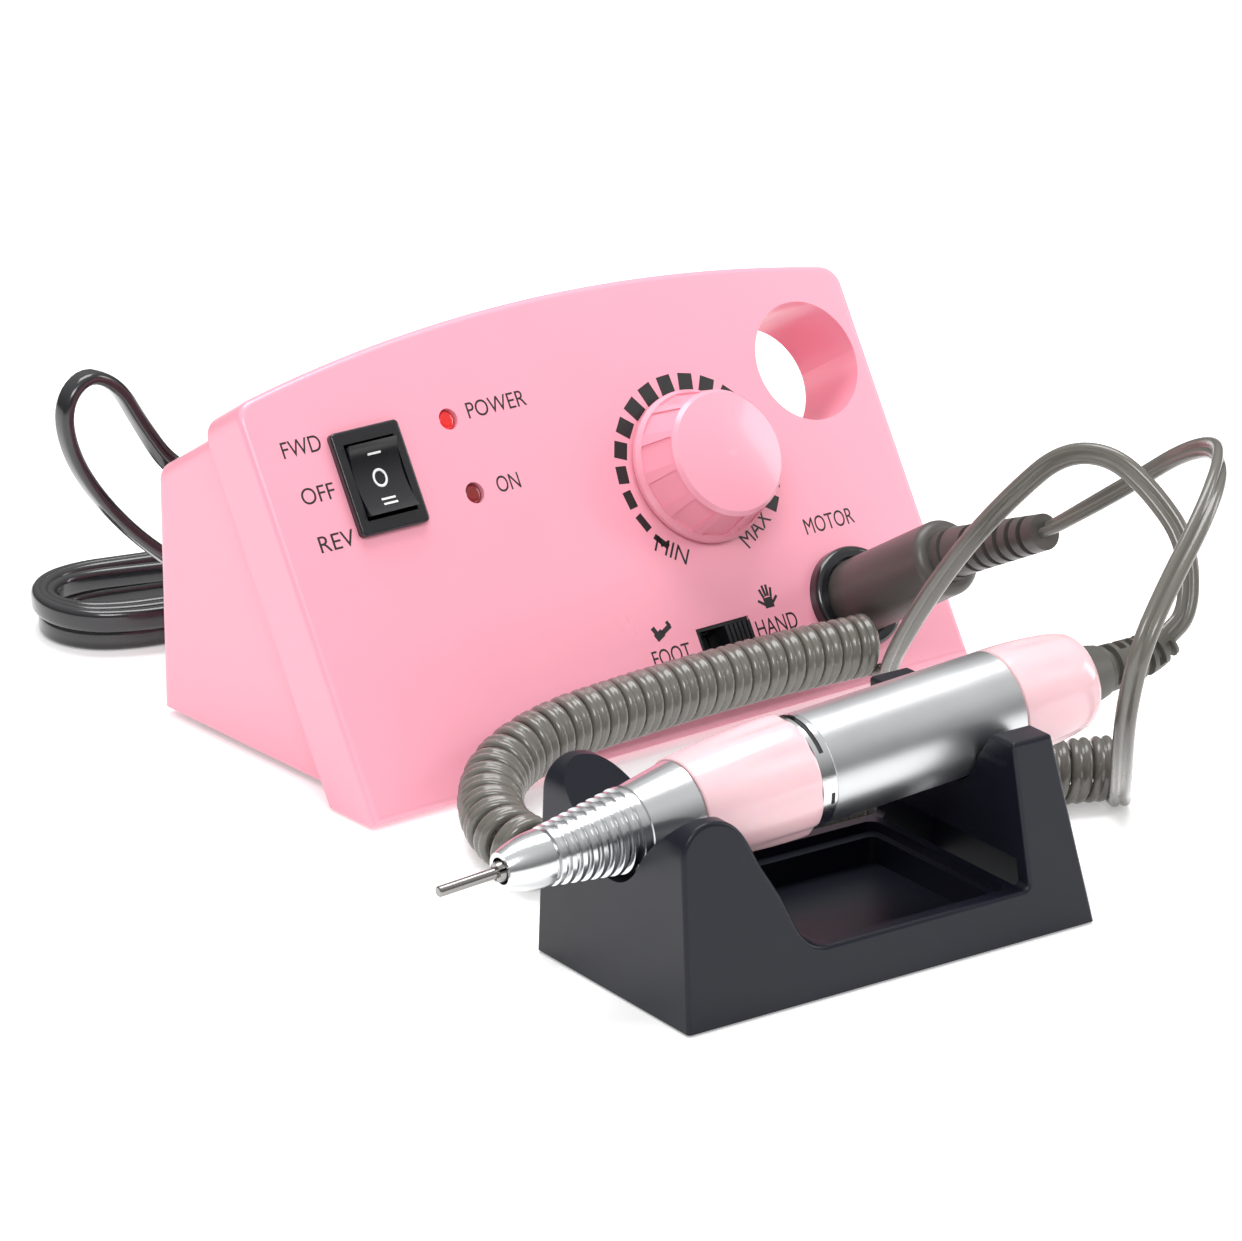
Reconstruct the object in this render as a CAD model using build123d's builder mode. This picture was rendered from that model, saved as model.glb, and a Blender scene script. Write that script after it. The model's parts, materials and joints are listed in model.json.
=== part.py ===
from build123d import *
import os
from math import atan2, cos, pi, radians, sin, tan

os.makedirs("parts", exist_ok=True)

# ---------------------------------------------------------------- driving sizes (mm)
# Row frame: +X to the user's right, -Y towards the user, +Z up, table top at z = 0.
BOX_X, BOX_Y = 28.2, 14.5          # middle of the sloped panel's bottom front edge

PANEL_W = 175.0                    # control box, seen from the front
PANEL_H = 100.4                    # panel height along its slope, at the corners
PANEL_ARCH = 9.1                   # rise of the top edge in the middle
PANEL_TILT = 30.8                  # lean of the panel from vertical, degrees
SLAB_T = 15.2                      # thickness of the front shell
SHELL_LIFT = 1.0                   # gap under the front shell
BODY_BACK = 92.3                   # back wall, behind the panel's bottom edge
BODY_INSET = 5.6                   # rear shell sits in from the front shell's sides
BODY_RAISE = 3.4                   # and stands this much less far in along its top
BODY_BOTTOM = 2.5                  # rear shell and base plate over the table
WALL = 2.4                         # moulded wall

HOLE_U, HOLE_V, HOLE_R = 69.4, 79.9, 14.6      # parking hole for the handpiece
COLLAR_DEPTH = 22.0
ROCKER_U, ROCKER_V = -57.9, 76.9
ROCKER_W, ROCKER_H = 18.8, 24.4
POWER_LED = (-34.1, 86.4)
ON_LED = (-33.6, 68.6)
LED_R = 2.5
DIAL_U, DIAL_V = 28.5, 61.6
SWITCH_U, SWITCH_V = 20.6, 22.0
SOCKET_U, SOCKET_V, SOCKET_R = 59.4, 22.4, 12.3

CRADLE_X, CRADLE_Y = -103.7, -127.5            # near left corner, from the panel's edge
CRADLE_TURN = -3.82                            # degrees about Z
CRADLE_L, CRADLE_W = 105.5, 55.0
POST_TOP = 44.5
CRADLE_EDGE_R = 0.9
RIM_TOP = 11.6

HAND_RISE = 3.8                                # handpiece axis rises to its rear, degrees
HAND_Z = 35.6                                  # axis height over the cradle's left end
HAND_START = 7.0                               # the handpiece's own zero, ahead of that end
CASING_R = 12.2
GAP = 0.35                                     # air between curved faces that may move

sinT, cosT = sin(radians(PANEL_TILT)), cos(radians(PANEL_TILT))

# Panel frame: x along the row's X, y up the slope, z straight out of the panel.
FACE = Plane(origin=(BOX_X, BOX_Y, 0), x_dir=(1, 0, 0), z_dir=(0, -cosT, sinT))

# Cradle frame: x along its length, y to the back, z up.
CRADLE = Plane(origin=(BOX_X + CRADLE_X, BOX_Y + CRADLE_Y, 0),
               x_dir=(cos(radians(CRADLE_TURN)), sin(radians(CRADLE_TURN)), 0), z_dir=(0, 0, 1))

# Handpiece frame: x along its axis to the rear, y radial in the upright plane.
hand_rise = radians(HAND_RISE)
hand_dir = CRADLE.x_dir * cos(hand_rise) + Vector(0, 0, sin(hand_rise))
hand_mid = CRADLE.from_local_coords(Vector(0, CRADLE_W / 2, HAND_Z)) - hand_dir * HAND_START
HAND = Plane(origin=hand_mid, x_dir=hand_dir, z_dir=CRADLE.y_dir * -1)
HAND_AXIS = Axis(hand_mid, hand_dir)


def face_at(u, v, w=0.0):
    """Plane parallel to the panel, centred at (u, v), w out of it."""
    return Plane(origin=FACE.from_local_coords(Vector(u, v, w)), x_dir=FACE.x_dir, z_dir=FACE.z_dir)


def hand_across(s):
    """Plane square to the handpiece axis, s along it, facing the rear."""
    return Plane(origin=HAND.from_local_coords(Vector(s, 0, 0)), x_dir=HAND.z_dir, z_dir=HAND.x_dir)


def turned(*outline):
    """Solid of revolution about the handpiece axis from (s, r) points."""
    with BuildPart() as body:
        with BuildSketch(HAND):
            with BuildLine():
                Polyline(*outline, close=True)
            make_face()
        revolve(axis=HAND_AXIS)
    return body.part


def finish(part, name):
    """Label one finished piece and write it."""
    part.label = name
    export_step(part, f"parts/{name}.step")


def panel_profile(inset, low, notch=None, raised=0.0):
    """Arched panel outline pulled in by inset, its bottom edge at low, its top raised."""
    half = PANEL_W / 2 - inset
    top = PANEL_H - inset + raised
    with BuildSketch(mode=Mode.PRIVATE) as outline:
        with BuildLine():
            Line((-half, low), (half, low))
            Line((half, low), (half, top))
            ThreePointArc((half, top), (0, top + PANEL_ARCH), (-half, top))
            Line((-half, top), (-half, low))
        make_face()
        fillet(outline.vertices().group_by(Axis.Y)[-1], 5.5 if inset < 4 else 4.0)
        if notch:
            with Locations((notch[0] + 100, notch[1] + 100)):
                Rectangle(200, 200, mode=Mode.SUBTRACT)
    return outline.sketch


# ---------------------------------------------------------------- control box shells
NOTCH_U, NOTCH_V = HOLE_U - HOLE_R - 5.0, HOLE_V - HOLE_R - 5.0

with BuildPart() as front_shell:
    with BuildSketch(FACE):
        add(panel_profile(0, -8))
    extrude(amount=-SLAB_T)
    with BuildSketch(Plane.XY.offset(SHELL_LIFT)):
        Rectangle(500, 500)
    extrude(amount=-100, mode=Mode.SUBTRACT)
    front_rim = front_shell.faces().sort_by(Axis(FACE.origin, FACE.z_dir))[-1].edges()
    fillet(front_rim, 1.6)
    with BuildSketch(FACE.offset(-WALL)):
        add(panel_profile(WALL, 12.0))
    extrude(amount=-(SLAB_T - 2 * WALL), mode=Mode.SUBTRACT)
    with BuildSketch(FACE.offset(-SLAB_T + WALL)):
        add(panel_profile(BODY_INSET + WALL, 12.0, (NOTCH_U - WALL, NOTCH_V - WALL)))
    extrude(amount=-WALL, mode=Mode.SUBTRACT)
    with BuildSketch(face_at(HOLE_U, HOLE_V, -0.8)):
        Circle(HOLE_R + WALL)
    extrude(amount=-COLLAR_DEPTH + 0.8)
    with BuildSketch(face_at(HOLE_U, HOLE_V, 5)):
        Circle(HOLE_R)
    extrude(amount=-60, mode=Mode.SUBTRACT)
    with BuildSketch(face_at(ROCKER_U, ROCKER_V, 5)):
        Rectangle(ROCKER_W - 2.6, ROCKER_H - 2.6)
    extrude(amount=-20, mode=Mode.SUBTRACT)
    for led_u, led_v in (POWER_LED, ON_LED):
        with BuildSketch(face_at(led_u, led_v, 5)):
            Circle(LED_R)
        extrude(amount=-20, mode=Mode.SUBTRACT)
    with BuildSketch(face_at(DIAL_U, DIAL_V, 5)):
        Circle(3.5)
    extrude(amount=-20, mode=Mode.SUBTRACT)
    with BuildSketch(face_at(SWITCH_U, SWITCH_V, 5)):
        Rectangle(15.6, 6.6)
    extrude(amount=-20, mode=Mode.SUBTRACT)
    with BuildSketch(face_at(SOCKET_U, SOCKET_V, 5)):
        Circle(8.8)
    extrude(amount=-20, mode=Mode.SUBTRACT)
finish(front_shell.part, "front_shell")

back_y = BOX_Y + BODY_BACK
FUSE_X, FUSE_Z = BOX_X + 2.0, 24.0
JACK_X, JACK_Z = BOX_X + 34.0, 24.0
GLAND_X, GLAND_Z = BOX_X - 52.0, 44.0
JACK_R = 3.25

with BuildPart() as rear_space:
    with BuildSketch(FACE.offset(-SLAB_T)):
        add(panel_profile(BODY_INSET + WALL, 0, (NOTCH_U - WALL, NOTCH_V - WALL), BODY_RAISE))
    extrude(amount=-130)
    with BuildSketch(Plane.XZ.offset(-back_y + WALL)):
        Rectangle(500, 500)
    extrude(amount=-200, mode=Mode.SUBTRACT)

with BuildPart() as rear_shell:
    with BuildSketch(FACE.offset(-SLAB_T)):
        add(panel_profile(BODY_INSET, -60, (NOTCH_U, NOTCH_V), BODY_RAISE))
    extrude(amount=-130)
    with BuildSketch(Plane.XZ.offset(-back_y)):
        Rectangle(500, 500)
    extrude(amount=-200, mode=Mode.SUBTRACT)
    with BuildSketch(Plane.XY.offset(BODY_BOTTOM)):
        Rectangle(500, 500)
    extrude(amount=-150, mode=Mode.SUBTRACT)
    back_edges = rear_shell.faces().sort_by(Axis.Y)[-1].edges()
    fillet([e for e in back_edges if e.center().Z > BODY_BOTTOM + 1], 3.0)
    add(rear_space.part, mode=Mode.SUBTRACT)
    for boss_x in (-75.2, 75.2):
        for boss_y in (32.0, 84.0):
            with BuildSketch(Plane.XY.offset(BODY_BOTTOM + WALL)):
                with Locations((BOX_X + boss_x, BOX_Y + boss_y)):
                    Circle(4.4)
            extrude(amount=9.0 if boss_y > 50 else 8.0)
            with BuildSketch(Plane.XY.offset(BODY_BOTTOM + WALL)):
                with Locations((BOX_X + boss_x, BOX_Y + boss_y)):
                    Circle(1.3)
            extrude(amount=6.5, mode=Mode.SUBTRACT)
    with BuildSketch(Plane.XZ.offset(-back_y - 2)):
        with Locations((FUSE_X, FUSE_Z)):
            Circle(6.2)
        with Locations((JACK_X, JACK_Z)):
            Circle(4.6)
        with Locations((GLAND_X, GLAND_Z)):
            SlotOverall(10.0, 7.6)
    extrude(amount=8, mode=Mode.SUBTRACT)
    with BuildSketch(Plane.XZ.offset(-back_y - 2)):
        with Locations((BOX_X - 12.0, 46.0)):
            with GridLocations(5.2, 0, 6, 1):
                SlotOverall(13.0, 2.2, rotation=90)
    extrude(amount=8, mode=Mode.SUBTRACT)
finish(rear_shell.part, "rear_shell")

BASE_Y0, BASE_Y1 = 21.0, BODY_BACK - WALL - 0.3
base_mid_y = BOX_Y + (BASE_Y0 + BASE_Y1) / 2
BASE_W = PANEL_W - 2 * (BODY_INSET + WALL) - 0.6
plate_top = BODY_BOTTOM + WALL
BOARD_X, BOARD_Y, BOARD_Z = BOX_X + 24.0, BOX_Y + 54.0, plate_top + 6.0
with BuildPart() as base_plate:
    with BuildSketch(Plane.XY.offset(BODY_BOTTOM)):
        with Locations((BOX_X, base_mid_y)):
            RectangleRounded(BASE_W, BASE_Y1 - BASE_Y0, 3)
            with Locations((24, 0)):
                with GridLocations(7, 0, 7, 1):
                    SlotOverall(26, 3, rotation=90, mode=Mode.SUBTRACT)
    extrude(amount=WALL)
    with BuildSketch(Plane.XY.offset(BODY_BOTTOM)):
        for boss_x in (-75.2, 75.2):
            for boss_y in (32.0, 84.0):
                with Locations((BOX_X + boss_x, BOX_Y + boss_y)):
                    Circle(1.7)
    extrude(amount=WALL, mode=Mode.SUBTRACT)
    with BuildSketch(Plane.XY.offset(plate_top)):
        with Locations((BOARD_X, BOARD_Y)):
            with GridLocations(60, 38, 2, 2):
                Circle(3.0)
    extrude(amount=BOARD_Z - plate_top)
finish(base_plate.part, "base_plate")

with BuildPart() as base_screws:
    for boss_x in (-75.2, 75.2):
        for boss_y in (32.0, 84.0):
            with BuildSketch(Plane.XY.offset(BODY_BOTTOM - 1.4)):
                with Locations((BOX_X + boss_x, BOX_Y + boss_y)):
                    Circle(2.8)
            extrude(amount=1.4)
            with BuildSketch(Plane.XY.offset(BODY_BOTTOM)):
                with Locations((BOX_X + boss_x, BOX_Y + boss_y)):
                    Circle(1.25)
            extrude(amount=8.0)
finish(base_screws.part, "base_screws")

with BuildPart() as rubber_feet:
    with BuildSketch(Plane.XY):
        with Locations((BOX_X, base_mid_y)):
            with GridLocations(128, 48, 2, 2):
                Circle(6.0)
    extrude(amount=BODY_BOTTOM)
    chamfer(rubber_feet.edges().group_by(Axis.Z)[0], 0.6)
finish(rubber_feet.part, "rubber_feet")

# ---------------------------------------------------------------- rocker switch
BEZEL_T = 1.8
ROCKER_PIVOT_R = 1.2
ROCKER_BUTTON = (13.2, 16.4)
with BuildPart() as rocker_housing:
    with BuildSketch(face_at(ROCKER_U, ROCKER_V)):
        RectangleRounded(ROCKER_W, ROCKER_H, 1.2)
    extrude(amount=BEZEL_T)
    fillet(rocker_housing.faces().sort_by(Axis(FACE.origin, FACE.z_dir))[-1].edges(), 0.6)
    with BuildSketch(face_at(ROCKER_U, ROCKER_V)):
        Rectangle(ROCKER_W - 3.0, ROCKER_H - 3.0)
    extrude(amount=-13.0)
    with BuildSketch(face_at(ROCKER_U, ROCKER_V, BEZEL_T)):
        Rectangle(ROCKER_BUTTON[0] + 0.7, ROCKER_BUTTON[1] + 1.6)
    extrude(amount=-12.0, mode=Mode.SUBTRACT)
    with BuildSketch(Plane(origin=FACE.from_local_coords(Vector(ROCKER_U, ROCKER_V, -1.5)),
                           x_dir=FACE.y_dir, z_dir=FACE.x_dir)):
        Circle(ROCKER_PIVOT_R + 0.05)
    extrude(amount=ROCKER_W / 2 - 1.9, both=True, mode=Mode.SUBTRACT)
finish(rocker_housing.part, "rocker_housing")

# The button is a shallow V: at rest it stands level, one half dips when pressed.
with BuildPart() as rocker_button:
    with BuildSketch(Plane(origin=FACE.from_local_coords(Vector(ROCKER_U, ROCKER_V, 0)),
                           x_dir=FACE.y_dir, z_dir=FACE.x_dir)):
        with BuildLine():
            half = ROCKER_BUTTON[1] / 2
            Polyline((-half, 3.4), (-half + 0.4, -1.6), (-half + 3.0, -4.4), (half - 3.0, -4.4),
                     (half - 0.4, -1.6), (half, 3.4))
            ThreePointArc((half, 3.4), (0, 1.4), (-half, 3.4))
        make_face()
    extrude(amount=ROCKER_BUTTON[0] / 2, both=True)
    with BuildSketch(Plane(origin=FACE.from_local_coords(Vector(ROCKER_U, ROCKER_V, -1.5)),
                           x_dir=FACE.y_dir, z_dir=FACE.x_dir)):
        Circle(ROCKER_PIVOT_R)
    extrude(amount=ROCKER_BUTTON[0] / 2 + 0.7, both=True)
finish(rocker_button.part, "rocker_button")

with BuildPart() as rocker_terminals:
    with BuildSketch(face_at(ROCKER_U, ROCKER_V, -13.0)):
        with GridLocations(7.0, 6.4, 2, 3):
            Rectangle(0.8, 4.6)
    extrude(amount=-7.5)
finish(rocker_terminals.part, "rocker_terminals")

# ---------------------------------------------------------------- indicator lamps
def lamp(u, v):
    """A 5 mm lamp: flanged cylinder behind the panel with a low dome in its hole."""
    with BuildPart() as led:
        with BuildSketch(face_at(u, v, -WALL)):
            Circle(LED_R + 0.5)
        extrude(amount=-1.0)
        with BuildSketch(face_at(u, v, -WALL)):
            Circle(LED_R)
        extrude(amount=WALL - 0.6)
        with BuildSketch(face_at(u, v, -WALL - 1.0)):
            Circle(LED_R)
        extrude(amount=-3.6)
        fillet(led.faces().sort_by(Axis(FACE.origin, FACE.z_dir))[-1].edges(), 1.2)
    return led.part


finish(lamp(*POWER_LED), "power_led")
finish(lamp(*ON_LED), "on_led")

# ---------------------------------------------------------------- speed control
SHAFT_R = 3.0
with BuildPart() as potentiometer_body:
    with BuildSketch(face_at(DIAL_U, DIAL_V, -WALL)):
        Circle(8.5)
        Circle(3.45, mode=Mode.SUBTRACT)
    extrude(amount=-1.0)
    with BuildSketch(face_at(DIAL_U, DIAL_V, -WALL - 1.0)):
        Circle(8.5)
        Circle(SHAFT_R + 0.05, mode=Mode.SUBTRACT)
    extrude(amount=-7.0)
    with BuildSketch(face_at(DIAL_U, DIAL_V, -WALL - 8.0)):
        Circle(8.5)
    extrude(amount=-1.0)
    with BuildSketch(face_at(DIAL_U, DIAL_V, -WALL - 1.0)):
        Circle(3.45)
        Circle(SHAFT_R + 0.05, mode=Mode.SUBTRACT)
    extrude(amount=WALL + 5.5)
    with BuildSketch(face_at(DIAL_U, DIAL_V - 9.5, -WALL - 4.0)):
        with GridLocations(5.0, 0, 3, 1):
            Rectangle(1.0, 6.0)
    extrude(amount=-0.8)
finish(potentiometer_body.part, "potentiometer_body")

with BuildPart() as potentiometer_nut:
    with BuildSketch(face_at(DIAL_U, DIAL_V)):
        RegularPolygon(5.6, 6)
        Circle(3.45, mode=Mode.SUBTRACT)
    extrude(amount=2.0)
finish(potentiometer_nut.part, "potentiometer_nut")

KNOB_SKIRT_R, KNOB_TOP_R, KNOB_H = 18.4, 15.2, 14.8
KNOB_LIFT = 0.8
with BuildPart() as potentiometer_shaft:
    with BuildSketch(face_at(DIAL_U, DIAL_V, -WALL - 7.5)):
        Circle(SHAFT_R)
    extrude(amount=WALL + 7.5 + 10.5)
finish(potentiometer_shaft.part, "potentiometer_shaft")

KNOB_UP = Plane(origin=FACE.from_local_coords(Vector(DIAL_U, DIAL_V, 0)),
                x_dir=FACE.x_dir, z_dir=FACE.y_dir * -1)
with BuildPart() as speed_knob:
    with BuildSketch(KNOB_UP):
        with BuildLine():
            Polyline((0, 10.5), (SHAFT_R, 10.5), (SHAFT_R, 6.4), (6.2, 6.4), (6.2, 11.6), (12.6, 11.6),
                     (15.8, KNOB_LIFT + 1.6), (15.8, KNOB_LIFT), (KNOB_SKIRT_R, KNOB_LIFT),
                     (KNOB_SKIRT_R, KNOB_LIFT + 1.0), (KNOB_SKIRT_R - 0.8, KNOB_LIFT + 2.2),
                     (KNOB_TOP_R, 12.6), (KNOB_TOP_R - 0.9, 13.5))
            TangentArc((0, KNOB_H), (KNOB_TOP_R - 0.9, 13.5), tangent=(1, 0))
            Line((0, KNOB_H), (0, 10.5))
        make_face()
    revolve(axis=Axis(KNOB_UP.origin, FACE.z_dir))
    # Twelve finger flats with ribs between them, following the taper of the side.
    side_lean = atan2(KNOB_SKIRT_R - 0.8 - KNOB_TOP_R, 12.6 - KNOB_LIFT - 2.2)
    for flat in range(12):
        turn = radians(30 * flat + 15)
        out = FACE.x_dir * cos(turn) + FACE.y_dir * sin(turn)
        normal = out * cos(side_lean) + FACE.z_dir * sin(side_lean)
        across = FACE.x_dir * -sin(turn) + FACE.y_dir * cos(turn)
        middle = KNOB_UP.origin + out * (KNOB_TOP_R + 0.55) + FACE.z_dir * 7.6
        with BuildSketch(Plane(origin=middle, x_dir=across, z_dir=normal)):
            RectangleRounded(6.4, 9.4, 0.5)
        extrude(amount=4, mode=Mode.SUBTRACT)
finish(speed_knob.part, "speed_knob")

# ---------------------------------------------------------------- foot / hand slide switch
LEVER_TRAVEL = 5.0
with BuildPart() as slide_switch_body:
    with BuildSketch(face_at(SWITCH_U, SWITCH_V, -WALL)):
        Rectangle(19.0, 9.0)
    extrude(amount=-6.5)
    with BuildSketch(face_at(SWITCH_U, SWITCH_V, -WALL)):
        Rectangle(15.4, 6.4)
    extrude(amount=WALL - 0.5)
    with BuildSketch(face_at(SWITCH_U, SWITCH_V, 5)):
        Rectangle(13.4, 5.0)
    extrude(amount=-5 - WALL - 3.4, mode=Mode.SUBTRACT)
    with BuildSketch(face_at(SWITCH_U, SWITCH_V, -WALL - 6.5)):
        with GridLocations(4.0, 4.0, 3, 2):
            Rectangle(0.8, 0.5)
    extrude(amount=-3.0)
finish(slide_switch_body.part, "slide_switch_body")

LEVER_W = 7.4
with BuildPart() as slide_switch_lever:
    with BuildSketch(face_at(SWITCH_U + LEVER_TRAVEL / 2 + 0.1, SWITCH_V, -WALL - 3.0)):
        Rectangle(LEVER_W, 4.4)
    extrude(amount=WALL + 3.0 + 2.2)
    with BuildSketch(face_at(SWITCH_U + LEVER_TRAVEL / 2 + 0.1, SWITCH_V, 2.2)):
        with GridLocations(1.3, 0, 5, 1):
            Rectangle(0.5, 5.0)
    extrude(amount=-0.5, mode=Mode.SUBTRACT)
finish(slide_switch_lever.part, "slide_switch_lever")

# ---------------------------------------------------------------- motor socket and its plug
with BuildPart() as motor_socket:
    with BuildSketch(face_at(SOCKET_U, SOCKET_V)):
        Circle(SOCKET_R)
    extrude(amount=3.4)
    fillet(motor_socket.faces().sort_by(Axis(FACE.origin, FACE.z_dir))[-1].edges(), 1.3)
    with BuildSketch(face_at(SOCKET_U, SOCKET_V)):
        Circle(8.7)
    extrude(amount=-13.0)
    with BuildSketch(face_at(SOCKET_U, SOCKET_V, 3.4)):
        Circle(9.6)
    extrude(amount=-2.0, mode=Mode.SUBTRACT)
    with BuildSketch(face_at(SOCKET_U, SOCKET_V, 1.4)):
        Circle(7.2)
    extrude(amount=-11.0, mode=Mode.SUBTRACT)
    with BuildSketch(face_at(SOCKET_U, SOCKET_V, -9.6)):
        with PolarLocations(3.4, 3, start_angle=90):
            Circle(0.85)
    extrude(amount=-5.0, mode=Mode.SUBTRACT)
finish(motor_socket.part, "motor_socket")

with BuildPart() as socket_nut:
    with BuildSketch(face_at(SOCKET_U, SOCKET_V, -WALL)):
        RegularPolygon(11.6, 6)
        Circle(8.7, mode=Mode.SUBTRACT)
    extrude(amount=-2.2)
finish(socket_nut.part, "socket_nut")

PLUG_R, PLUG_LEN = 9.0, 39.0
with BuildPart() as motor_plug:
    with BuildSketch(face_at(SOCKET_U, SOCKET_V, 1.4)):
        Circle(PLUG_R)
    extrude(amount=PLUG_LEN - 1.4)
    fillet(motor_plug.faces().sort_by(Axis(FACE.origin, FACE.z_dir))[-1].edges(), 2.4)
    with BuildSketch(face_at(SOCKET_U, SOCKET_V, PLUG_LEN - 0.5)):
        Circle(6.1)
    extrude(amount=3.5)
finish(motor_plug.part, "motor_plug")

with BuildPart() as plug_shell:
    with BuildSketch(face_at(SOCKET_U, SOCKET_V, 1.4)):
        Circle(6.9)
        Circle(6.3, mode=Mode.SUBTRACT)
    extrude(amount=-9.5)
    with BuildSketch(face_at(SOCKET_U, SOCKET_V, 1.4)):
        Circle(6.3)
    extrude(amount=-2.0)
    with BuildSketch(face_at(SOCKET_U, SOCKET_V, -0.6)):
        with PolarLocations(3.4, 3, start_angle=90):
            Circle(0.8)
    extrude(amount=-11.0)
finish(plug_shell.part, "plug_shell")

# The strain relief droops a little from the plug's axis under the cord's weight.
RELIEF_TILT = 23.5
relief_top = FACE.from_local_coords(Vector(SOCKET_U, SOCKET_V, PLUG_LEN + 3.8))
RELIEF = Plane(origin=relief_top, x_dir=(1, 0, 0),
               z_dir=(0, -cos(radians(RELIEF_TILT)), sin(radians(RELIEF_TILT))))
RELIEF_LEN = 31.0
with BuildPart() as plug_relief:
    with BuildSketch(RELIEF):
        Circle(5.8)
    with BuildSketch(RELIEF.offset(RELIEF_LEN)):
        Circle(4.2)
    loft()
    for ring in range(6):
        with BuildSketch(RELIEF.offset(6.0 + 4.0 * ring)):
            Circle(8)
            Circle(4.1 - 0.2 * ring, mode=Mode.SUBTRACT)
        extrude(amount=1.5, mode=Mode.SUBTRACT)
finish(plug_relief.part, "plug_relief")

# ---------------------------------------------------------------- electronics
with BuildPart() as control_board:
    with BuildSketch(Plane.XY.offset(BOARD_Z)):
        with Locations((BOARD_X, BOARD_Y)):
            Rectangle(72, 48)
    extrude(amount=1.6)
finish(control_board.part, "control_board")

board_top = BOARD_Z + 1.6
with BuildPart() as capacitors:
    with BuildSketch(Plane.XY.offset(board_top)):
        with Locations((BOARD_X - 28, BOARD_Y - 15), (BOARD_X - 14.5, BOARD_Y - 15)):
            Circle(6.2)
    extrude(amount=20.0)
    with BuildSketch(Plane.XY.offset(board_top)):
        with Locations((BOARD_X + 29, BOARD_Y - 14)):
            Circle(4.0)
    extrude(amount=12.0)
finish(capacitors.part, "capacitors")

with BuildPart() as heat_sink:
    with BuildSketch(Plane.XY.offset(board_top)):
        with Locations((BOARD_X + 6, BOARD_Y - 6)):
            Rectangle(26, 3)
            with GridLocations(4.6, 0, 6, 1):
                with Locations((0, 6)):
                    Rectangle(1.4, 10)
    extrude(amount=22.0)
finish(heat_sink.part, "heat_sink")

with BuildPart() as power_transistor:
    with BuildSketch(Plane.XY.offset(board_top + 3.0)):
        with Locations((BOARD_X + 6, BOARD_Y - 9.8)):
            Rectangle(10.2, 4.6)
    extrude(amount=15.0)
    with BuildSketch(Plane.XY.offset(board_top)):
        with Locations((BOARD_X + 6, BOARD_Y - 9.8)):
            with GridLocations(2.54, 0, 3, 1):
                Rectangle(0.9, 0.6)
    extrude(amount=3.0)
finish(power_transistor.part, "power_transistor")

CORE_X, CORE_Y = BOX_X - 47.0, BOX_Y + 67.5
CORE_L, CORE_H, CORE_T = 54.0, 42.0, 24.0
core_bottom = plate_top
with BuildPart() as transformer_core:
    with BuildSketch(Plane.XZ.offset(-CORE_Y + CORE_T / 2)):
        with Locations((CORE_X, core_bottom + CORE_H / 2)):
            Rectangle(CORE_L, CORE_H)
            with Locations((-13.5, 0), (13.5, 0)):
                Rectangle(9.0, 26.4, mode=Mode.SUBTRACT)
    extrude(amount=-CORE_T)
finish(transformer_core.part, "transformer_core")

with BuildPart() as transformer_coil:
    with BuildSketch(Plane.XY.offset(core_bottom + 8.2)):
        with Locations((CORE_X, CORE_Y)):
            RectangleRounded(35.4, 41.0, 5)
            Rectangle(18.2, 24.2, mode=Mode.SUBTRACT)
    extrude(amount=25.6)
finish(transformer_coil.part, "transformer_coil")

# ---------------------------------------------------------------- back wall fittings
def back_plane(x, z, out=0.0):
    """Plane on the back wall's outer face, facing away from the box."""
    return Plane(origin=(x, back_y + out, z), x_dir=(-1, 0, 0), z_dir=(0, 1, 0))


with BuildPart() as fuse_holder:
    with BuildSketch(back_plane(FUSE_X, FUSE_Z)):
        Circle(7.8)
    extrude(amount=2.0)
    with BuildSketch(back_plane(FUSE_X, FUSE_Z)):
        Circle(6.1)
    extrude(amount=-26.0)
    with BuildSketch(back_plane(FUSE_X, FUSE_Z, 2.0)):
        Circle(4.6)
    extrude(amount=-26.0, mode=Mode.SUBTRACT)
finish(fuse_holder.part, "fuse_holder")

with BuildPart() as fuse_cap:
    with BuildSketch(back_plane(FUSE_X, FUSE_Z, 2.35)):
        Circle(6.4)
    extrude(amount=4.0)
    fillet(fuse_cap.faces().sort_by(Axis.Y)[-1].edges(), 0.8)
    with BuildSketch(back_plane(FUSE_X, FUSE_Z, 6.35)):
        Rectangle(9.5, 1.6)
    extrude(amount=-1.4, mode=Mode.SUBTRACT)
    with BuildSketch(back_plane(FUSE_X, FUSE_Z, 2.35)):
        Circle(4.2)
        Circle(2.65, mode=Mode.SUBTRACT)
    extrude(amount=-6.0)
finish(fuse_cap.part, "fuse_cap")

with BuildPart() as fuse_cartridge:
    with BuildSketch(back_plane(FUSE_X, FUSE_Z, 2.35)):
        Circle(2.65)
    extrude(amount=-20.0)
finish(fuse_cartridge.part, "fuse_cartridge")

with BuildPart() as foot_pedal_jack:
    with BuildSketch(back_plane(JACK_X, JACK_Z)):
        RegularPolygon(7.0, 6)
    extrude(amount=2.2)
    with BuildSketch(back_plane(JACK_X, JACK_Z)):
        Circle(4.5)
    extrude(amount=-WALL)
    with BuildSketch(back_plane(JACK_X, JACK_Z, -WALL)):
        Rectangle(15, 12)
    extrude(amount=-20.0)
    with BuildSketch(back_plane(JACK_X, JACK_Z, 2.2)):
        Circle(JACK_R)
    extrude(amount=-20.0, mode=Mode.SUBTRACT)
finish(foot_pedal_jack.part, "foot_pedal_jack")

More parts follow.
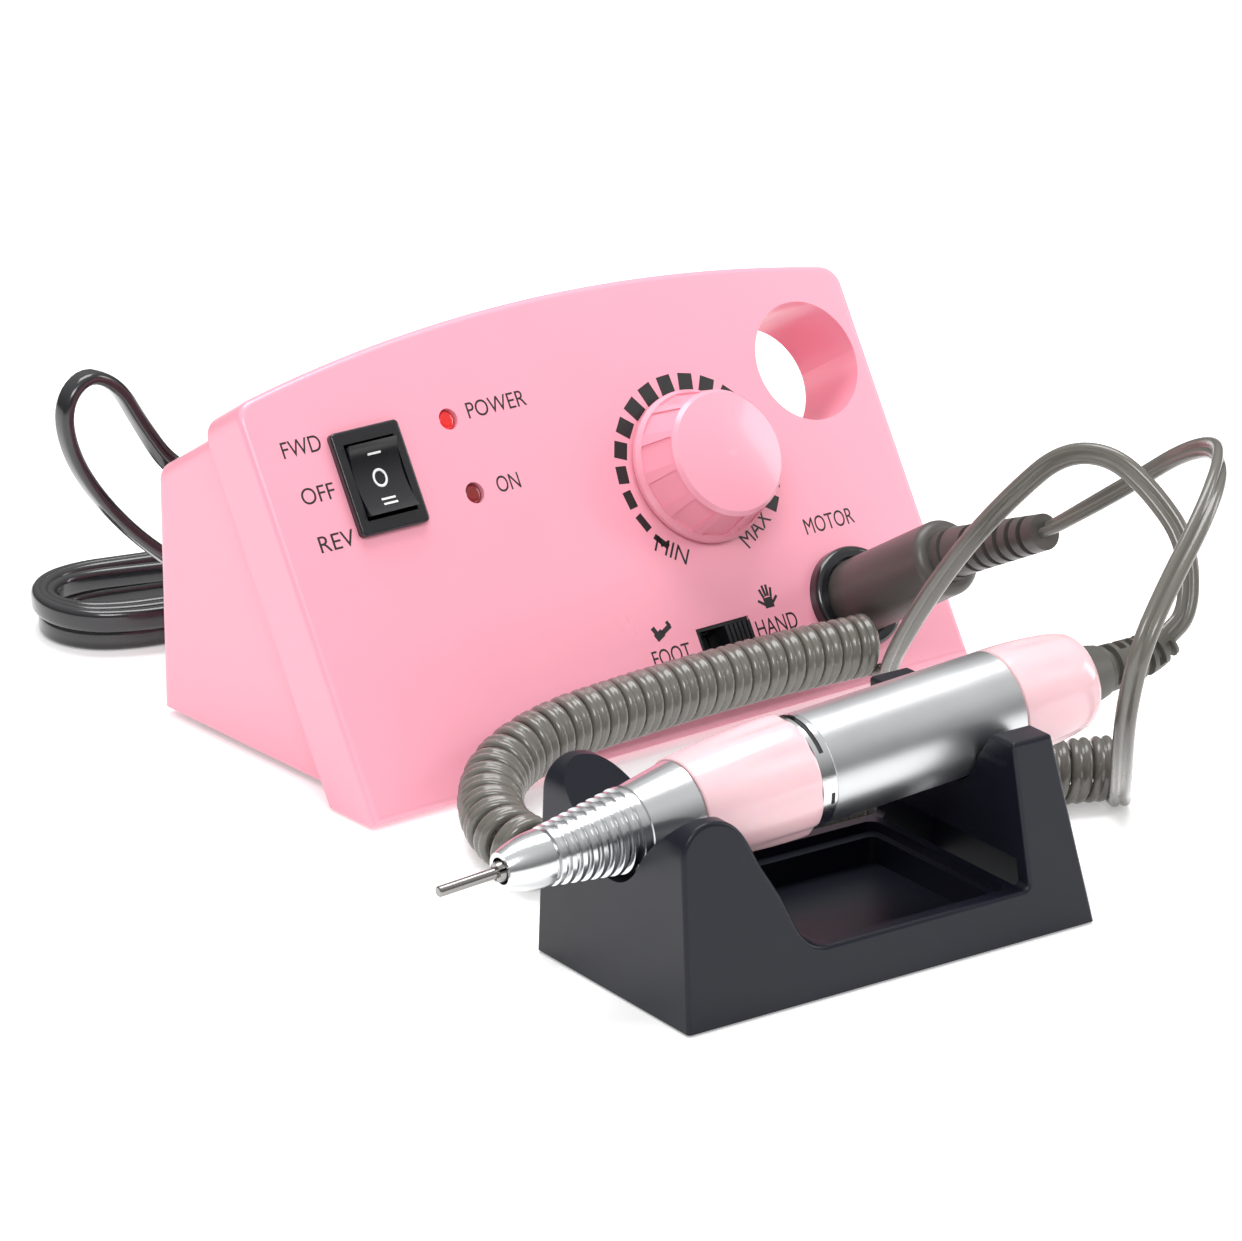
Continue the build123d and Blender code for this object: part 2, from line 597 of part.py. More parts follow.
CORD_W, CORD_T = 5.6, 3.2
with BuildPart() as mains_gland:
    with BuildSketch(back_plane(GLAND_X, GLAND_Z, -WALL)):
        SlotOverall(13.0, 10.6)
    extrude(amount=-2.0)
    with BuildSketch(back_plane(GLAND_X, GLAND_Z, -WALL)):
        SlotOverall(9.9, 7.5)
    extrude(amount=WALL)
    with BuildSketch(back_plane(GLAND_X, GLAND_Z)):
        SlotOverall(13.0, 10.6)
    with BuildSketch(back_plane(GLAND_X, GLAND_Z, 13.0)):
        SlotOverall(CORD_W + 2.2, CORD_T + 2.2)
    loft()
finish(mains_gland.part, "mains_gland")

# ---------------------------------------------------------------- handpiece cradle
NOTCH_FRONT_R = 10.6
with BuildPart() as cradle:
    side = Plane(origin=CRADLE.origin, x_dir=CRADLE.x_dir, z_dir=CRADLE.y_dir * -1)
    foot = 0.6
    with BuildSketch(side):
        with BuildLine():
            Line((0, foot), (0, POST_TOP - 7))
            ThreePointArc((0, POST_TOP - 7), (2.6, POST_TOP - 1.4), (8.0, POST_TOP))
            Spline((8.0, POST_TOP), (18.6, 34.0), (24.6, 24.0), (31.0, 13.4), (36.5, RIM_TOP),
                   tangents=((1, -0.1), (1, 0)))
            Line((36.5, RIM_TOP), (86.6, RIM_TOP))
            ThreePointArc((86.6, RIM_TOP), (87.7, RIM_TOP + 0.5), (88.0, RIM_TOP + 1.8))
            Polyline((88.0, RIM_TOP + 1.8), (84.2, POST_TOP), (94.6, POST_TOP), (105.5, foot), (0, foot))
        make_face()
    extrude(amount=-CRADLE_W)
    # The long sides lean in towards the top.
    lean = 2.6
    end_plane = Plane(origin=CRADLE.from_local_coords(Vector(-2, 0, 0)),
                      x_dir=CRADLE.y_dir, z_dir=CRADLE.x_dir)
    for flip in (0, 1):
        with BuildSketch(end_plane):
            with BuildLine():
                edge = CRADLE_W * flip
                out = -1 if flip == 0 else 1
                Polyline((edge, 0), (edge + out * 10, 0), (edge + out * 10, 60),
                         (edge - out * lean * 60 / POST_TOP, 60), close=True)
            make_face()
        extrude(amount=CRADLE_L + 10, mode=Mode.SUBTRACT)
    # Its long sides' edges and the right post's two ridges are rounded.
    right_post_x = CRADLE_L - 25
    softened = [e for e in cradle.edges() if e.center().Z > foot + 0.5
                and (abs(e.tangent_at(0.5).dot(CRADLE.y_dir)) < 0.9
                     or (e.center().Z > POST_TOP - 0.1
                         and CRADLE.to_local_coords(e.center()).X > right_post_x))]
    fillet(softened, CRADLE_EDGE_R)
    # Seat for the nose at the left end: a round trough that flares to the posts.
    seat_s = 10.0
    seat_z = HAND_Z + seat_s * tan(hand_rise)
    left_end = Plane(origin=CRADLE.from_local_coords(Vector(-3, CRADLE_W / 2, 0)),
                     x_dir=CRADLE.y_dir, z_dir=CRADLE.x_dir)
    with BuildSketch(left_end):
        with BuildLine():
            ThreePointArc((-8.6, seat_z - 6.2), (0, seat_z - NOTCH_FRONT_R), (8.6, seat_z - 6.2))
            Spline((8.6, seat_z - 6.2), (13.0, 36.0), (19.5, 42.4), (24.0, 46.0), tangents=((0.55, 1), (1, 0.4)))
            Polyline((24.0, 46.0), (24.0, 60.0), (-24.0, 60.0), (-24.0, 46.0))
            Spline((-24.0, 46.0), (-19.5, 42.4), (-13.0, 36.0), (-8.6, seat_z - 6.2),
                   tangents=((1, -0.4), (0.55, -1)))
        make_face()
    extrude(amount=45.0, mode=Mode.SUBTRACT)
    # Seat for the motor casing at the right end.
    right_mid = Plane(origin=HAND.from_local_coords(Vector(60, 0, 0)), x_dir=HAND.z_dir, z_dir=HAND.x_dir)
    with BuildSketch(right_mid):
        Circle(CASING_R + GAP)
    extrude(amount=60.0, mode=Mode.SUBTRACT)
    with BuildSketch(Plane(origin=CRADLE.from_local_coords(Vector(70, CRADLE_W / 2, 0)),
                           x_dir=CRADLE.y_dir, z_dir=CRADLE.x_dir)):
        with BuildLine():
            Polyline((-11.6, 37.0), (11.6, 37.0), (21.0, 48.0), (21.0, 60.0), (-21.0, 60.0),
                     (-21.0, 48.0), close=True)
        make_face()
    extrude(amount=60.0, mode=Mode.SUBTRACT)
    # Clearance for the nose cone, which is a little fatter towards the tray.
    with BuildSketch(HAND):
        with BuildLine():
            Polyline((-12, 0), (-12, 8.2), (4, 9.5 + GAP), (24, 11.4 + GAP), (28, 13.4 + GAP),
                     (56, 13.6 + GAP), (60, CASING_R + GAP), (60, 0), close=True)
        make_face()
    revolve(axis=HAND_AXIS, mode=Mode.SUBTRACT)
    # Tray for bits, with a low ledge round its floor.
    with BuildSketch(CRADLE.offset(RIM_TOP - 2.2)):
        with Locations((60.0, CRADLE_W / 2)):
            RectangleRounded(50.0, CRADLE_W - 8.0, 2.5)
    extrude(amount=30.0, mode=Mode.SUBTRACT)
    with BuildSketch(CRADLE.offset(3.4)):
        with Locations((60.0, CRADLE_W / 2)):
            RectangleRounded(46.0, CRADLE_W - 14.0, 2.0)
    extrude(amount=30.0, mode=Mode.SUBTRACT)
    # Hollow underneath both end blocks, as a moulding is.
    with BuildSketch(CRADLE.offset(foot)):
        with Locations((16.0, CRADLE_W / 2)):
            Rectangle(24.0, CRADLE_W - 9.0)
    extrude(amount=11.0, mode=Mode.SUBTRACT)
    with BuildSketch(CRADLE.offset(foot)):
        with Locations((94.0, CRADLE_W / 2)):
            Rectangle(14.0, CRADLE_W - 9.0)
    extrude(amount=17.0, mode=Mode.SUBTRACT)
finish(cradle.part, "cradle")

with BuildPart() as cradle_pads:
    with BuildSketch(CRADLE):
        with Locations((52.75, CRADLE_W / 2)):
            with GridLocations(44, 34, 2, 2):
                Circle(4.0)
    extrude(amount=foot)
finish(cradle_pads.part, "cradle_pads")

# ---------------------------------------------------------------- handpiece housing
NOSE_TIP, RINGS_START, RINGS_END = -20.2, -10.3, 10.7
CONE_END, SLEEVE_END, INDEX_END = 23.7, 51.6, 55.5
CASING_END, CAP_END = 105.9, 127.7
RINGS = 9
R_NOSE, R_RING0, R_RING1, R_CONE0, R_CONE1 = 3.9, 6.1, 9.1, 8.9, 10.9

with BuildPart() as nose_cone:
    with BuildSketch(HAND):
        with BuildLine():
            ThreePointArc((NOSE_TIP, R_NOSE), (-16.0, 5.35), (RINGS_START, R_RING0))
            pitch = (RINGS_END - RINGS_START) / RINGS
            crest = []
            for ring in range(RINGS):
                s0 = RINGS_START + ring * pitch
                r0 = R_RING0 + (R_RING1 - R_RING0) * ring / RINGS
                crest += [(s0 + 0.02, r0 - 0.55), (s0 + 0.75, r0 - 0.55), (s0 + 1.05, r0 + 0.2),
                          (s0 + pitch - 0.35, r0 + 0.3), (s0 + pitch - 0.02, r0 - 0.2)]
            Polyline((RINGS_START, R_RING0), *crest, (RINGS_END, R_CONE0 - 0.5), (RINGS_END + 0.8, R_CONE0 - 0.4),
                     (RINGS_END + 1.1, R_CONE0), (CONE_END, R_CONE1), (CONE_END, R_CONE1 - 0.8),
                     (40.0, R_CONE1 - 0.8), (40.0, 7.6), (10.0, 7.6), (4.0, 6.2), (-12.0, 4.4), (-15.5, 2.9),
                     (NOSE_TIP, 2.9), (NOSE_TIP, R_NOSE))
        make_face()
    revolve(axis=HAND_AXIS)
finish(nose_cone.part, "nose_cone")

with BuildPart() as index_ring:
    add(turned((SLEEVE_END + 0.3, 9.6), (SLEEVE_END + 0.3, 12.25), (INDEX_END, 12.25), (INDEX_END, 9.6)))
    with BuildSketch(Plane(origin=HAND.from_local_coords(Vector(53.6, 0, 0)),
                           x_dir=HAND.x_dir, z_dir=HAND.z_dir)):
        with BuildLine():
            Line((-0.65, 0), (-0.65, 20))
            Polyline((-0.65, 20), (0.65, 20), (0.65, 0), (-0.65, 0))
        make_face()
    extrude(amount=5.0, both=True, mode=Mode.SUBTRACT)
finish(index_ring.part, "index_ring")

finish(turned((INDEX_END, 11.0), (INDEX_END, CASING_R - 0.3), (INDEX_END + 0.3, CASING_R),
              (CASING_END - 0.3, CASING_R), (CASING_END, CASING_R - 0.3), (CASING_END, 11.0)), "motor_casing")

with BuildPart() as end_cap:
    with BuildSketch(HAND):
        with BuildLine():
            Polyline((CASING_END + 0.1, 7.5), (CASING_END - 6.0, 7.5), (CASING_END - 6.0, 10.9),
                     (CASING_END + 0.1, 10.9), (CASING_END + 0.1, CASING_R + 0.1), (114.0, CASING_R))
            ThreePointArc((114.0, CASING_R), (122.5, 11.2), (CAP_END, 8.6))
            Polyline((CAP_END, 8.6), (CAP_END, 5.2), (125.0, 5.2), (125.0, 7.5), (CASING_END + 0.1, 7.5))
        make_face()
    revolve(axis=HAND_AXIS)
finish(end_cap.part, "end_cap")

# Rubber relief: a tapered boot whose ribbed tip turns upwards.
BOOT_STRAIGHT, BOOT_BEND_R, BOOT_BEND = 16.0, 19.0, 30.0
with BuildPart() as handpiece_relief:
    add(turned((CAP_END - 4.0, 0), (CAP_END - 4.0, 5.2), (CAP_END, 5.2), (CAP_END, 7.4),
               (CAP_END + 5.0, 5.9), (CAP_END + BOOT_STRAIGHT, 4.6), (CAP_END + BOOT_STRAIGHT, 0)))
    bend_centre = HAND.from_local_coords(Vector(CAP_END + BOOT_STRAIGHT, BOOT_BEND_R, 0))
    with BuildSketch(hand_across(CAP_END + BOOT_STRAIGHT)):
        Circle(4.2)
    revolve(axis=Axis(bend_centre, HAND.z_dir), revolution_arc=BOOT_BEND)
finish(handpiece_relief.part, "handpiece_relief")

# ---------------------------------------------------------------- twist collar that opens the collet
with BuildPart() as twist_sleeve:
    with BuildSketch(HAND):
        with BuildLine():
            Line((CONE_END + 0.3, R_CONE1 - 0.4), (CONE_END + 0.3, R_CONE1 + 0.5))
            ThreePointArc((CONE_END + 0.3, R_CONE1 + 0.5), (38.0, 13.05), (SLEEVE_END - 1.2, 13.25))
            Polyline((SLEEVE_END - 1.2, 13.25), (SLEEVE_END, 12.6), (SLEEVE_END, 10.9 + GAP - 0.3),
                     (40.0, 10.9 + GAP - 0.3), (40.0, R_CONE1 - 0.4), (CONE_END + 0.3, R_CONE1 - 0.4))
        make_face()
    revolve(axis=HAND_AXIS)
    for flute in range(8):
        turn = radians(45 * flute + 20)
        up = HAND.y_dir * cos(turn) + HAND.z_dir * sin(turn)
        centre = HAND.origin + HAND.x_dir * 42.0 + up * 31.6
        with BuildSketch(Plane(origin=centre, x_dir=up, z_dir=HAND.x_dir)):
            Circle(19.0)
        extrude(amount=8.6, both=True, taper=-3, mode=Mode.SUBTRACT)
finish(twist_sleeve.part, "twist_sleeve")

finish(turned((41.0, 8.2), (41.0, 10.9 + GAP - 0.3), (SLEEVE_END - 1.0, 10.9 + GAP - 0.3),
              (SLEEVE_END - 1.0, 9.2), (46.0, 9.2), (46.0, 8.2)), "cam_ring")

# ---------------------------------------------------------------- inside the handpiece
finish(turned((60.0, 9.6), (60.0, 10.9), (99.5, 10.9), (99.5, 3.4), (98.3, 3.4), (98.3, 9.6)), "motor_can")

with BuildPart() as motor_magnets:
    with BuildSketch(hand_across(63.0)):
        Circle(9.6)
        Circle(7.4, mode=Mode.SUBTRACT)
        with GridLocations(0, 20, 1, 2):
            Rectangle(30, 13, mode=Mode.SUBTRACT)
    extrude(amount=24.0)
finish(motor_magnets.part, "motor_magnets")


def ring_at(s, width, outer, inner):
    """A bearing drawn as one ring."""
    return turned((s, inner), (s, outer), (s + width, outer), (s + width, inner))


SPINDLE_R = 2.4
with BuildPart() as spindle_bearings:
    add(ring_at(-9.0, 4.0, 4.4, SPINDLE_R + 0.05))
    add(ring_at(10.5, 5.0, 7.6, SPINDLE_R + 0.05))
finish(spindle_bearings.part, "spindle_bearings")

with BuildPart() as motor_bearings:
    add(ring_at(56.0, 4.0, 9.6, 1.6))
    add(ring_at(94.5, 3.8, 5.0, 1.6))
finish(motor_bearings.part, "motor_bearings")

with BuildPart() as carbon_brushes:
    with BuildSketch(hand_across(90.0)):
        with Locations((5.6, 0), (-5.6, 0)):
            Rectangle(3.4, 3.0)
    extrude(amount=3.0)
finish(carbon_brushes.part, "carbon_brushes")

# Hollow spindle in front, dog coupling, then the motor's own shaft and armature.
finish(turned((-17.0, 1.9), (-17.0, SPINDLE_R), (22.0, SPINDLE_R), (22.0, 1.9)), "spindle")
with BuildPart() as drive_coupling:
    add(turned((22.0, 0), (22.0, 4.6), (38.0, 4.6), (38.0, 0)))
finish(drive_coupling.part, "drive_coupling")
finish(turned((38.0, 0), (38.0, 1.55), (98.0, 1.55), (98.0, 0)), "motor_shaft")
with BuildPart() as armature:
    with BuildSketch(hand_across(64.0)):
        Circle(6.9)
        Circle(1.55, mode=Mode.SUBTRACT)
        with PolarLocations(6.6, 5):
            Rectangle(2.6, 1.1, mode=Mode.SUBTRACT)
    extrude(amount=22.0)
finish(armature.part, "armature")
finish(turned((88.5, 1.55), (88.5, 3.6), (93.5, 3.6), (93.5, 1.55)), "commutator")

# Collet: a slotted steel jaw that slides inside the spindle; its mouth shows at the nose.
SHANK_R = 1.175
with BuildPart() as collet:
    add(turned((NOSE_TIP - 1.2, SHANK_R + 0.03), (NOSE_TIP - 1.2, 2.0), (NOSE_TIP + 0.6, 2.45),
               (-18.2, 2.45), (-18.2, 1.85), (7.0, 1.85), (7.0, SHANK_R + 0.03)))
    with BuildSketch(hand_across(NOSE_TIP - 1.2)):
        with PolarLocations(2.2, 3, start_angle=90):
            Rectangle(2.6, 0.5)
    extrude(amount=12.0, mode=Mode.SUBTRACT)
finish(collet.part, "collet")

BUR_TIP, SHANK_END = -35.3, 5.0
finish(turned((BUR_TIP, 0), (BUR_TIP, SHANK_R - 0.25), (BUR_TIP + 0.25, SHANK_R),
              (SHANK_END, SHANK_R), (SHANK_END, 0)), "mandrel_bit")

# ---------------------------------------------------------------- free cords
def route_path(points):
    """Straight runs joined by the largest tangent arcs that both runs allow."""
    spots = [Vector(*p) for p in points]
    radii = []
    for a, b, c in zip(spots, spots[1:], spots[2:]):
        turn = radians((b - a).get_angle(c - b))
        radii.append(0.45 * min((b - a).length, (c - b).length) / tan(turn / 2))
    runs = [(b - a).length for a, b in zip(spots, spots[1:])]
    print("   runs", [round(r, 1) for r in runs])
    print("   radii", [round(r, 1) for r in radii])
    with BuildLine() as line:
        FilletPolyline(*spots, radius=radii)
    return line.line


def cord_tube(name, points, radius):
    """Round tube along a route, checked against section times length."""
    print(name)
    path = route_path(points)
    start = path % 0
    with BuildPart() as tube:
        with BuildSketch(Plane(origin=path @ 0, z_dir=start)):
            Circle(radius)
        sweep(path=path)
    length = sum(edge.length for edge in path.edges())
    print("   length", round(length, 1), "volume ratio", round(tube.part.volume / (pi * radius ** 2 * length), 4))
    finish(tube.part, name)


def from_box(*points):
    """Points given from the middle of the panel's bottom edge, in the row frame."""
    return [(BOX_X + x, BOX_Y + y, z) for x, y, z in points]


LEAD_R = 2.0
COIL_R = 7.5
relief_end = RELIEF.from_local_coords(Vector(0, 0, RELIEF_LEN))
boot_dir = HAND.x_dir * cos(radians(BOOT_BEND)) + HAND.y_dir * sin(radians(BOOT_BEND))
boot_end = (bend_centre + HAND.x_dir * BOOT_BEND_R * sin(radians(BOOT_BEND))
            - HAND.y_dir * BOOT_BEND_R * cos(radians(BOOT_BEND)))

# Curly part: from beside the motor plug, along the panel's foot, round behind the nose
# and back along the cradle's far side.
curly_route = from_box(
    (51.2, -4.6, 14.6), (32.0, -2.2, 14.8), (4.0, -1.3, 14.8), (-20.0, -1.5, 14.5), (-41.0, -1.8, 13.7),
    (-59.0, -6.0, 11.0), (-72.0, -19.0, 8.6), (-79.5, -36.0, 7.9), (-76.5, -54.0, 7.9),
    (-60.0, -65.5, 7.9), (-36.0, -67.2, 7.9), (-8.0, -67.5, 7.9), (15.0, -70.5, 7.9),
    (35.0, -76.3, 7.9), (53.0, -85.2, 7.9))
cord_tube("curly_cord", curly_route, COIL_R)

# Lead from the handpiece: up from the boot, over, and down in front of the motor plug.
lead_start = boot_end + boot_dir * 0.1
handpiece_lead_route = [tuple(lead_start), tuple(boot_end + boot_dir * 8.0)] + from_box(
    (55.0, -104.0, 65.5), (53.5, -94.0, 75.0), (50.5, -84.0, 81.5), (46.0, -73.0, 80.0),
    (41.5, -63.0, 69.0), (38.0, -52.0, 55.4), (38.3, -38.0, 38.0), (42.0, -25.0, 22.5), (46.5, -15.5, 14.5),
    (50.5, -12.3, 11.2))
cord_tube("handpiece_lead", handpiece_lead_route, LEAD_R)

# Lead to the motor plug: up in front of the boot, over at the right, and back to the relief.
plug_lead_route = from_box(
    (51.2, -88.0, 2.9), (47.0, -93.5, 4.4), (40.5, -100.5, 9.5), (32.5, -109.0, 17.5), (24.5, -117.5, 28.5),
    (18.5, -124.5, 41.5), (19.5, -127.0, 55.5), (29.6, -124.5, 67.0), (42.4, -121.0, 78.0), (55.0, -113.5, 85.0),
    (65.5, -101.0, 85.0), (69.0, -87.0, 79.0), (67.0, -76.0, 70.5), (63.0, -65.0, 62.0)) + [tuple(relief_end)]
cord_tube("plug_lead", plug_lead_route, LEAD_R)

# Mains cord: out of the gland, one standing loop, then down into the stored coil.
MAINS_R = 2.4
mains_route = from_box(
    (-52.0, BODY_BACK + 13.1, 44.0), (-52.8, 113.5, 44.8), (-60.0, 119.0, 49.0), (-67.5, 119.5, 61.0),
    (-74.0, 119.0, 72.0), (-83.0, 118.5, 76.5), (-90.0, 118.0, 70.0), (-88.0, 118.0, 57.5), (-79.5, 118.0, 44.0),
    (-66.0, 119.0, 30.0), (-50.0, 120.0, 18.5), (-36.0, 121.8, 9.5), (-24.0, 121.7, 6.4))
cord_tube("mains_cord", mains_route, MAINS_R)

COIL_X, COIL_Y = BOX_X - 26.4, BOX_Y + 138.9
COIL_TURN = -15.0                  # the hank lies askew behind the box, degrees
COIL_STRAIGHT, COIL_MEAN_R, COIL_RADIAL, COIL_H = 68.0, 16.0, 9.0, 12.8
TAIL_X, TAIL_Z = BOX_X + 18.4, 6.9
tail_arc_x = COIL_X + COIL_STRAIGHT / 2 * cos(radians(COIL_TURN))
TAIL_Y = COIL_Y + COIL_STRAIGHT / 2 * sin(radians(COIL_TURN)) - COIL_MEAN_R - 1.5
with BuildPart() as mains_coil:
    with BuildSketch(Plane.XY):
        with Locations(Location((COIL_X, COIL_Y, 0), (0, 0, COIL_TURN))):
            outer_r, inner_r = COIL_MEAN_R + COIL_RADIAL / 2, COIL_MEAN_R - COIL_RADIAL / 2
            SlotOverall(COIL_STRAIGHT + 2 * outer_r, 2 * outer_r)
            SlotOverall(COIL_STRAIGHT + 2 * inner_r, 2 * inner_r, mode=Mode.SUBTRACT)
    extrude(amount=COIL_H)
    # The outermost turn leaves straight for the plug.
    with BuildSketch(Plane(origin=(TAIL_X, TAIL_Y, TAIL_Z), x_dir=(0, 1, 0), z_dir=(1, 0, 0))):
        Circle(MAINS_R)
    extrude(amount=tail_arc_x - TAIL_X)
finish(mains_coil.part, "mains_coil")

TAIL = Plane(origin=(TAIL_X, TAIL_Y, TAIL_Z), x_dir=(0, 1, 0), z_dir=(1, 0, 0))
PLUG_TAPER, PLUG_SHOULDER, PLUG_BODY = 18.0, 10.0, 20.0
with BuildPart() as mains_plug:
    with BuildSketch(TAIL):
        SlotOverall(8.4, 7.0)
    with BuildSketch(TAIL.offset(PLUG_TAPER)):
        SlotOverall(15.0, 10.4)
    loft()
    with BuildSketch(TAIL.offset(PLUG_TAPER - 0.1)):
        SlotOverall(17.0, 11.4)
    with BuildSketch(TAIL.offset(PLUG_TAPER + PLUG_SHOULDER)):
        RectangleRounded(35.3, 13.6, 6.0)
    loft()
    with BuildSketch(TAIL.offset(PLUG_TAPER + PLUG_SHOULDER)):
        RectangleRounded(35.3, 13.6, 6.0)
    extrude(amount=PLUG_BODY)
finish(mains_plug.part, "mains_plug")

PIN_R, PIN_LEN, PIN_SPACING = 2.0, 19.0, 19.0
with BuildPart() as mains_pins:
    with BuildSketch(TAIL.offset(PLUG_TAPER + PLUG_SHOULDER + PLUG_BODY)):
        with GridLocations(PIN_SPACING, 0, 2, 1):
            Circle(PIN_R)
    extrude(amount=PIN_LEN)
    chamfer(mains_pins.faces().sort_by(Axis.X)[-2:].edges(), 0.5)
finish(mains_pins.part, "mains_pins")
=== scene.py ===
import bmesh
import bpy
import json
from math import cos, pi, radians, sin
from mathutils import Matrix, Vector


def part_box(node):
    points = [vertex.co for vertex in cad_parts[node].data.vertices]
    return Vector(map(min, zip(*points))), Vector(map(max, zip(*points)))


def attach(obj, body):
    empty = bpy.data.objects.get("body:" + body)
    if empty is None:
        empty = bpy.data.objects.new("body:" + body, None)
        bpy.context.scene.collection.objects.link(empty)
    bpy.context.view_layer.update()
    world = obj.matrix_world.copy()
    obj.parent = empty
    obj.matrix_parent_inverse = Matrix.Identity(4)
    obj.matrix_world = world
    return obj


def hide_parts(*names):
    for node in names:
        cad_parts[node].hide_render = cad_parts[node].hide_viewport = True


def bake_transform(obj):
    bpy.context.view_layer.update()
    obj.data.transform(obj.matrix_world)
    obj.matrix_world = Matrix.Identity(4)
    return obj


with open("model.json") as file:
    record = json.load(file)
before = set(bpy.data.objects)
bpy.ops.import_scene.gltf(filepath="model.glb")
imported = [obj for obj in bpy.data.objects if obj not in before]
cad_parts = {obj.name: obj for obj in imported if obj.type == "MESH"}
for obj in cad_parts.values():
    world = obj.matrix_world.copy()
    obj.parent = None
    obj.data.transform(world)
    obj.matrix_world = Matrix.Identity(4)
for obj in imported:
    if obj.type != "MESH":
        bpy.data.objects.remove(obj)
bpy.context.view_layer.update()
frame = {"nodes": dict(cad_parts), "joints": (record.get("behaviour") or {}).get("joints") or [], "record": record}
nodes = frame["nodes"]
joints = {joint["name"]: joint for joint in frame["joints"]}
bpy.ops.object.select_all(action="DESELECT")

# ---------------------------------------------------------------- camera
# A long lens from the drill's front left, a little above it. The whole drill and both its
# cords stand in the picture.
bpy.ops.object.camera_add(location=(-0.7698, -0.9606, 0.4870))
camera = bpy.context.object
camera.data.lens = 171.4
camera.data.sensor_width = 36.0
looked_at = Vector((-0.0064, -0.0045, 0.04375))
camera.rotation_euler = (looked_at - camera.location).to_track_quat("-Z", "Y").to_euler()
bpy.context.scene.camera = camera

# ---------------------------------------------------------------- curly cord and its plug lead
# One twin lead of two 2.5 mm cores side by side, in soft grey PVC. Its long middle is wound flat
# and set by heat into a springy curl 15 mm across; its far end runs straight to the motor plug.
CORE = 0.0025
TURN_RADIUS = 0.0062
TURNS_APART = 0.0052


def finish(name, colour, roughness, metal=0.0, coat=0.0, mottle=0.05, grain=0.0006, depth=0.00001):
    """A moulded, rubber or metal surface: mottled colour, uneven gloss and a fine grain."""
    uneven = 0.06
    made = bpy.data.materials.new(name)
    made.use_nodes = True
    tree = made.node_tree
    shader = tree.nodes["Principled BSDF"]
    shader.inputs["Metallic"].default_value = metal
    shader.inputs["Coat Weight"].default_value = coat
    shader.inputs["Coat Roughness"].default_value = 0.08
    place = tree.nodes.new("ShaderNodeTexCoord")
    clouds = tree.nodes.new("ShaderNodeTexNoise")
    clouds.inputs["Scale"].default_value = 60.0
    clouds.inputs["Detail"].default_value = 4.0
    tint = tree.nodes.new("ShaderNodeMix")
    tint.data_type = "RGBA"
    tint.inputs["A"].default_value = (*[c * (1 - mottle) for c in colour], 1)
    tint.inputs["B"].default_value = (*[min(1, c * (1 + mottle)) for c in colour], 1)
    gloss = tree.nodes.new("ShaderNodeMapRange")
    gloss.inputs["To Min"].default_value = max(0.02, roughness - uneven)
    gloss.inputs["To Max"].default_value = min(1.0, roughness + uneven)
    fine = tree.nodes.new("ShaderNodeTexNoise")
    fine.inputs["Scale"].default_value = 1 / grain
    fine.inputs["Detail"].default_value = 3.0
    bump = tree.nodes.new("ShaderNodeBump")
    bump.inputs["Distance"].default_value = depth
    link = tree.links.new
    link(place.outputs["Object"], clouds.inputs["Vector"])
    link(place.outputs["Object"], fine.inputs["Vector"])
    link(clouds.outputs["Fac"], tint.inputs["Factor"])
    link(tint.outputs["Result"], shader.inputs["Base Color"])
    link(clouds.outputs["Fac"], gloss.inputs["Value"])
    link(gloss.outputs["Result"], shader.inputs["Roughness"])
    link(fine.outputs["Fac"], bump.inputs["Height"])
    link(bump.outputs["Normal"], shader.inputs["Normal"])
    return made


def smooth_line(points, steps=24):
    """Points read from a NURBS curve of order 3 whose control points are these."""
    data = bpy.data.curves.new("line", "CURVE")
    data.dimensions = "3D"
    data.resolution_u = steps
    spline = data.splines.new("NURBS")
    spline.points.add(len(points) - 1)
    for point, place in zip(spline.points, points):
        point.co = (*place, 1.0)
    spline.order_u = 3
    spline.use_endpoint_u = True
    carrier = bpy.data.objects.new("line", data)
    mesh = bpy.data.meshes.new_from_object(carrier)
    line = [vertex.co.copy() for vertex in mesh.vertices]
    bpy.data.meshes.remove(mesh)
    bpy.data.objects.remove(carrier)
    bpy.data.curves.remove(data)
    return line


def evenly(step, line, *others):
    """The line again with points a step apart, and the same places on the lines beside it."""
    along = [0.0]
    for a, b in zip(line, line[1:]):
        along.append(along[-1] + (b - a).length)
    count = max(2, round(along[-1] / step))
    found, i = [[] for _ in range(1 + len(others))], 0
    for k in range(count + 1):
        wanted = along[-1] * k / count
        while i < len(line) - 2 and along[i + 1] < wanted:
            i += 1
        share = (wanted - along[i]) / max(along[i + 1] - along[i], 1e-9)
        for kept, whole in zip(found, (line, *others)):
            kept.append(whole[i].lerp(whole[i + 1], share))
    return found


def ribbon(points, edges, step=0.0008):
    """An even centreline and the way its width lies, from a direction at each point."""
    beside = [point + 0.002 * Vector(edge).normalized() for point, edge in zip(points, edges)]
    line, rim = evenly(step, smooth_line(points), smooth_line(beside))
    return line, [(b - a).normalized() for a, b in zip(line, rim)]


def twin_section(core, per_core=11):
    """Outline of two round cores moulded side by side, with a groove between them."""
    outline = []
    for middle, facing in ((0.47 * core, 0.0), (-0.47 * core, pi)):
        for k in range(per_core):
            turn = facing + radians(-150 + 300 * k / (per_core - 1))
            outline.append((middle + core / 2 * cos(turn), core / 2 * sin(turn)))
    return outline


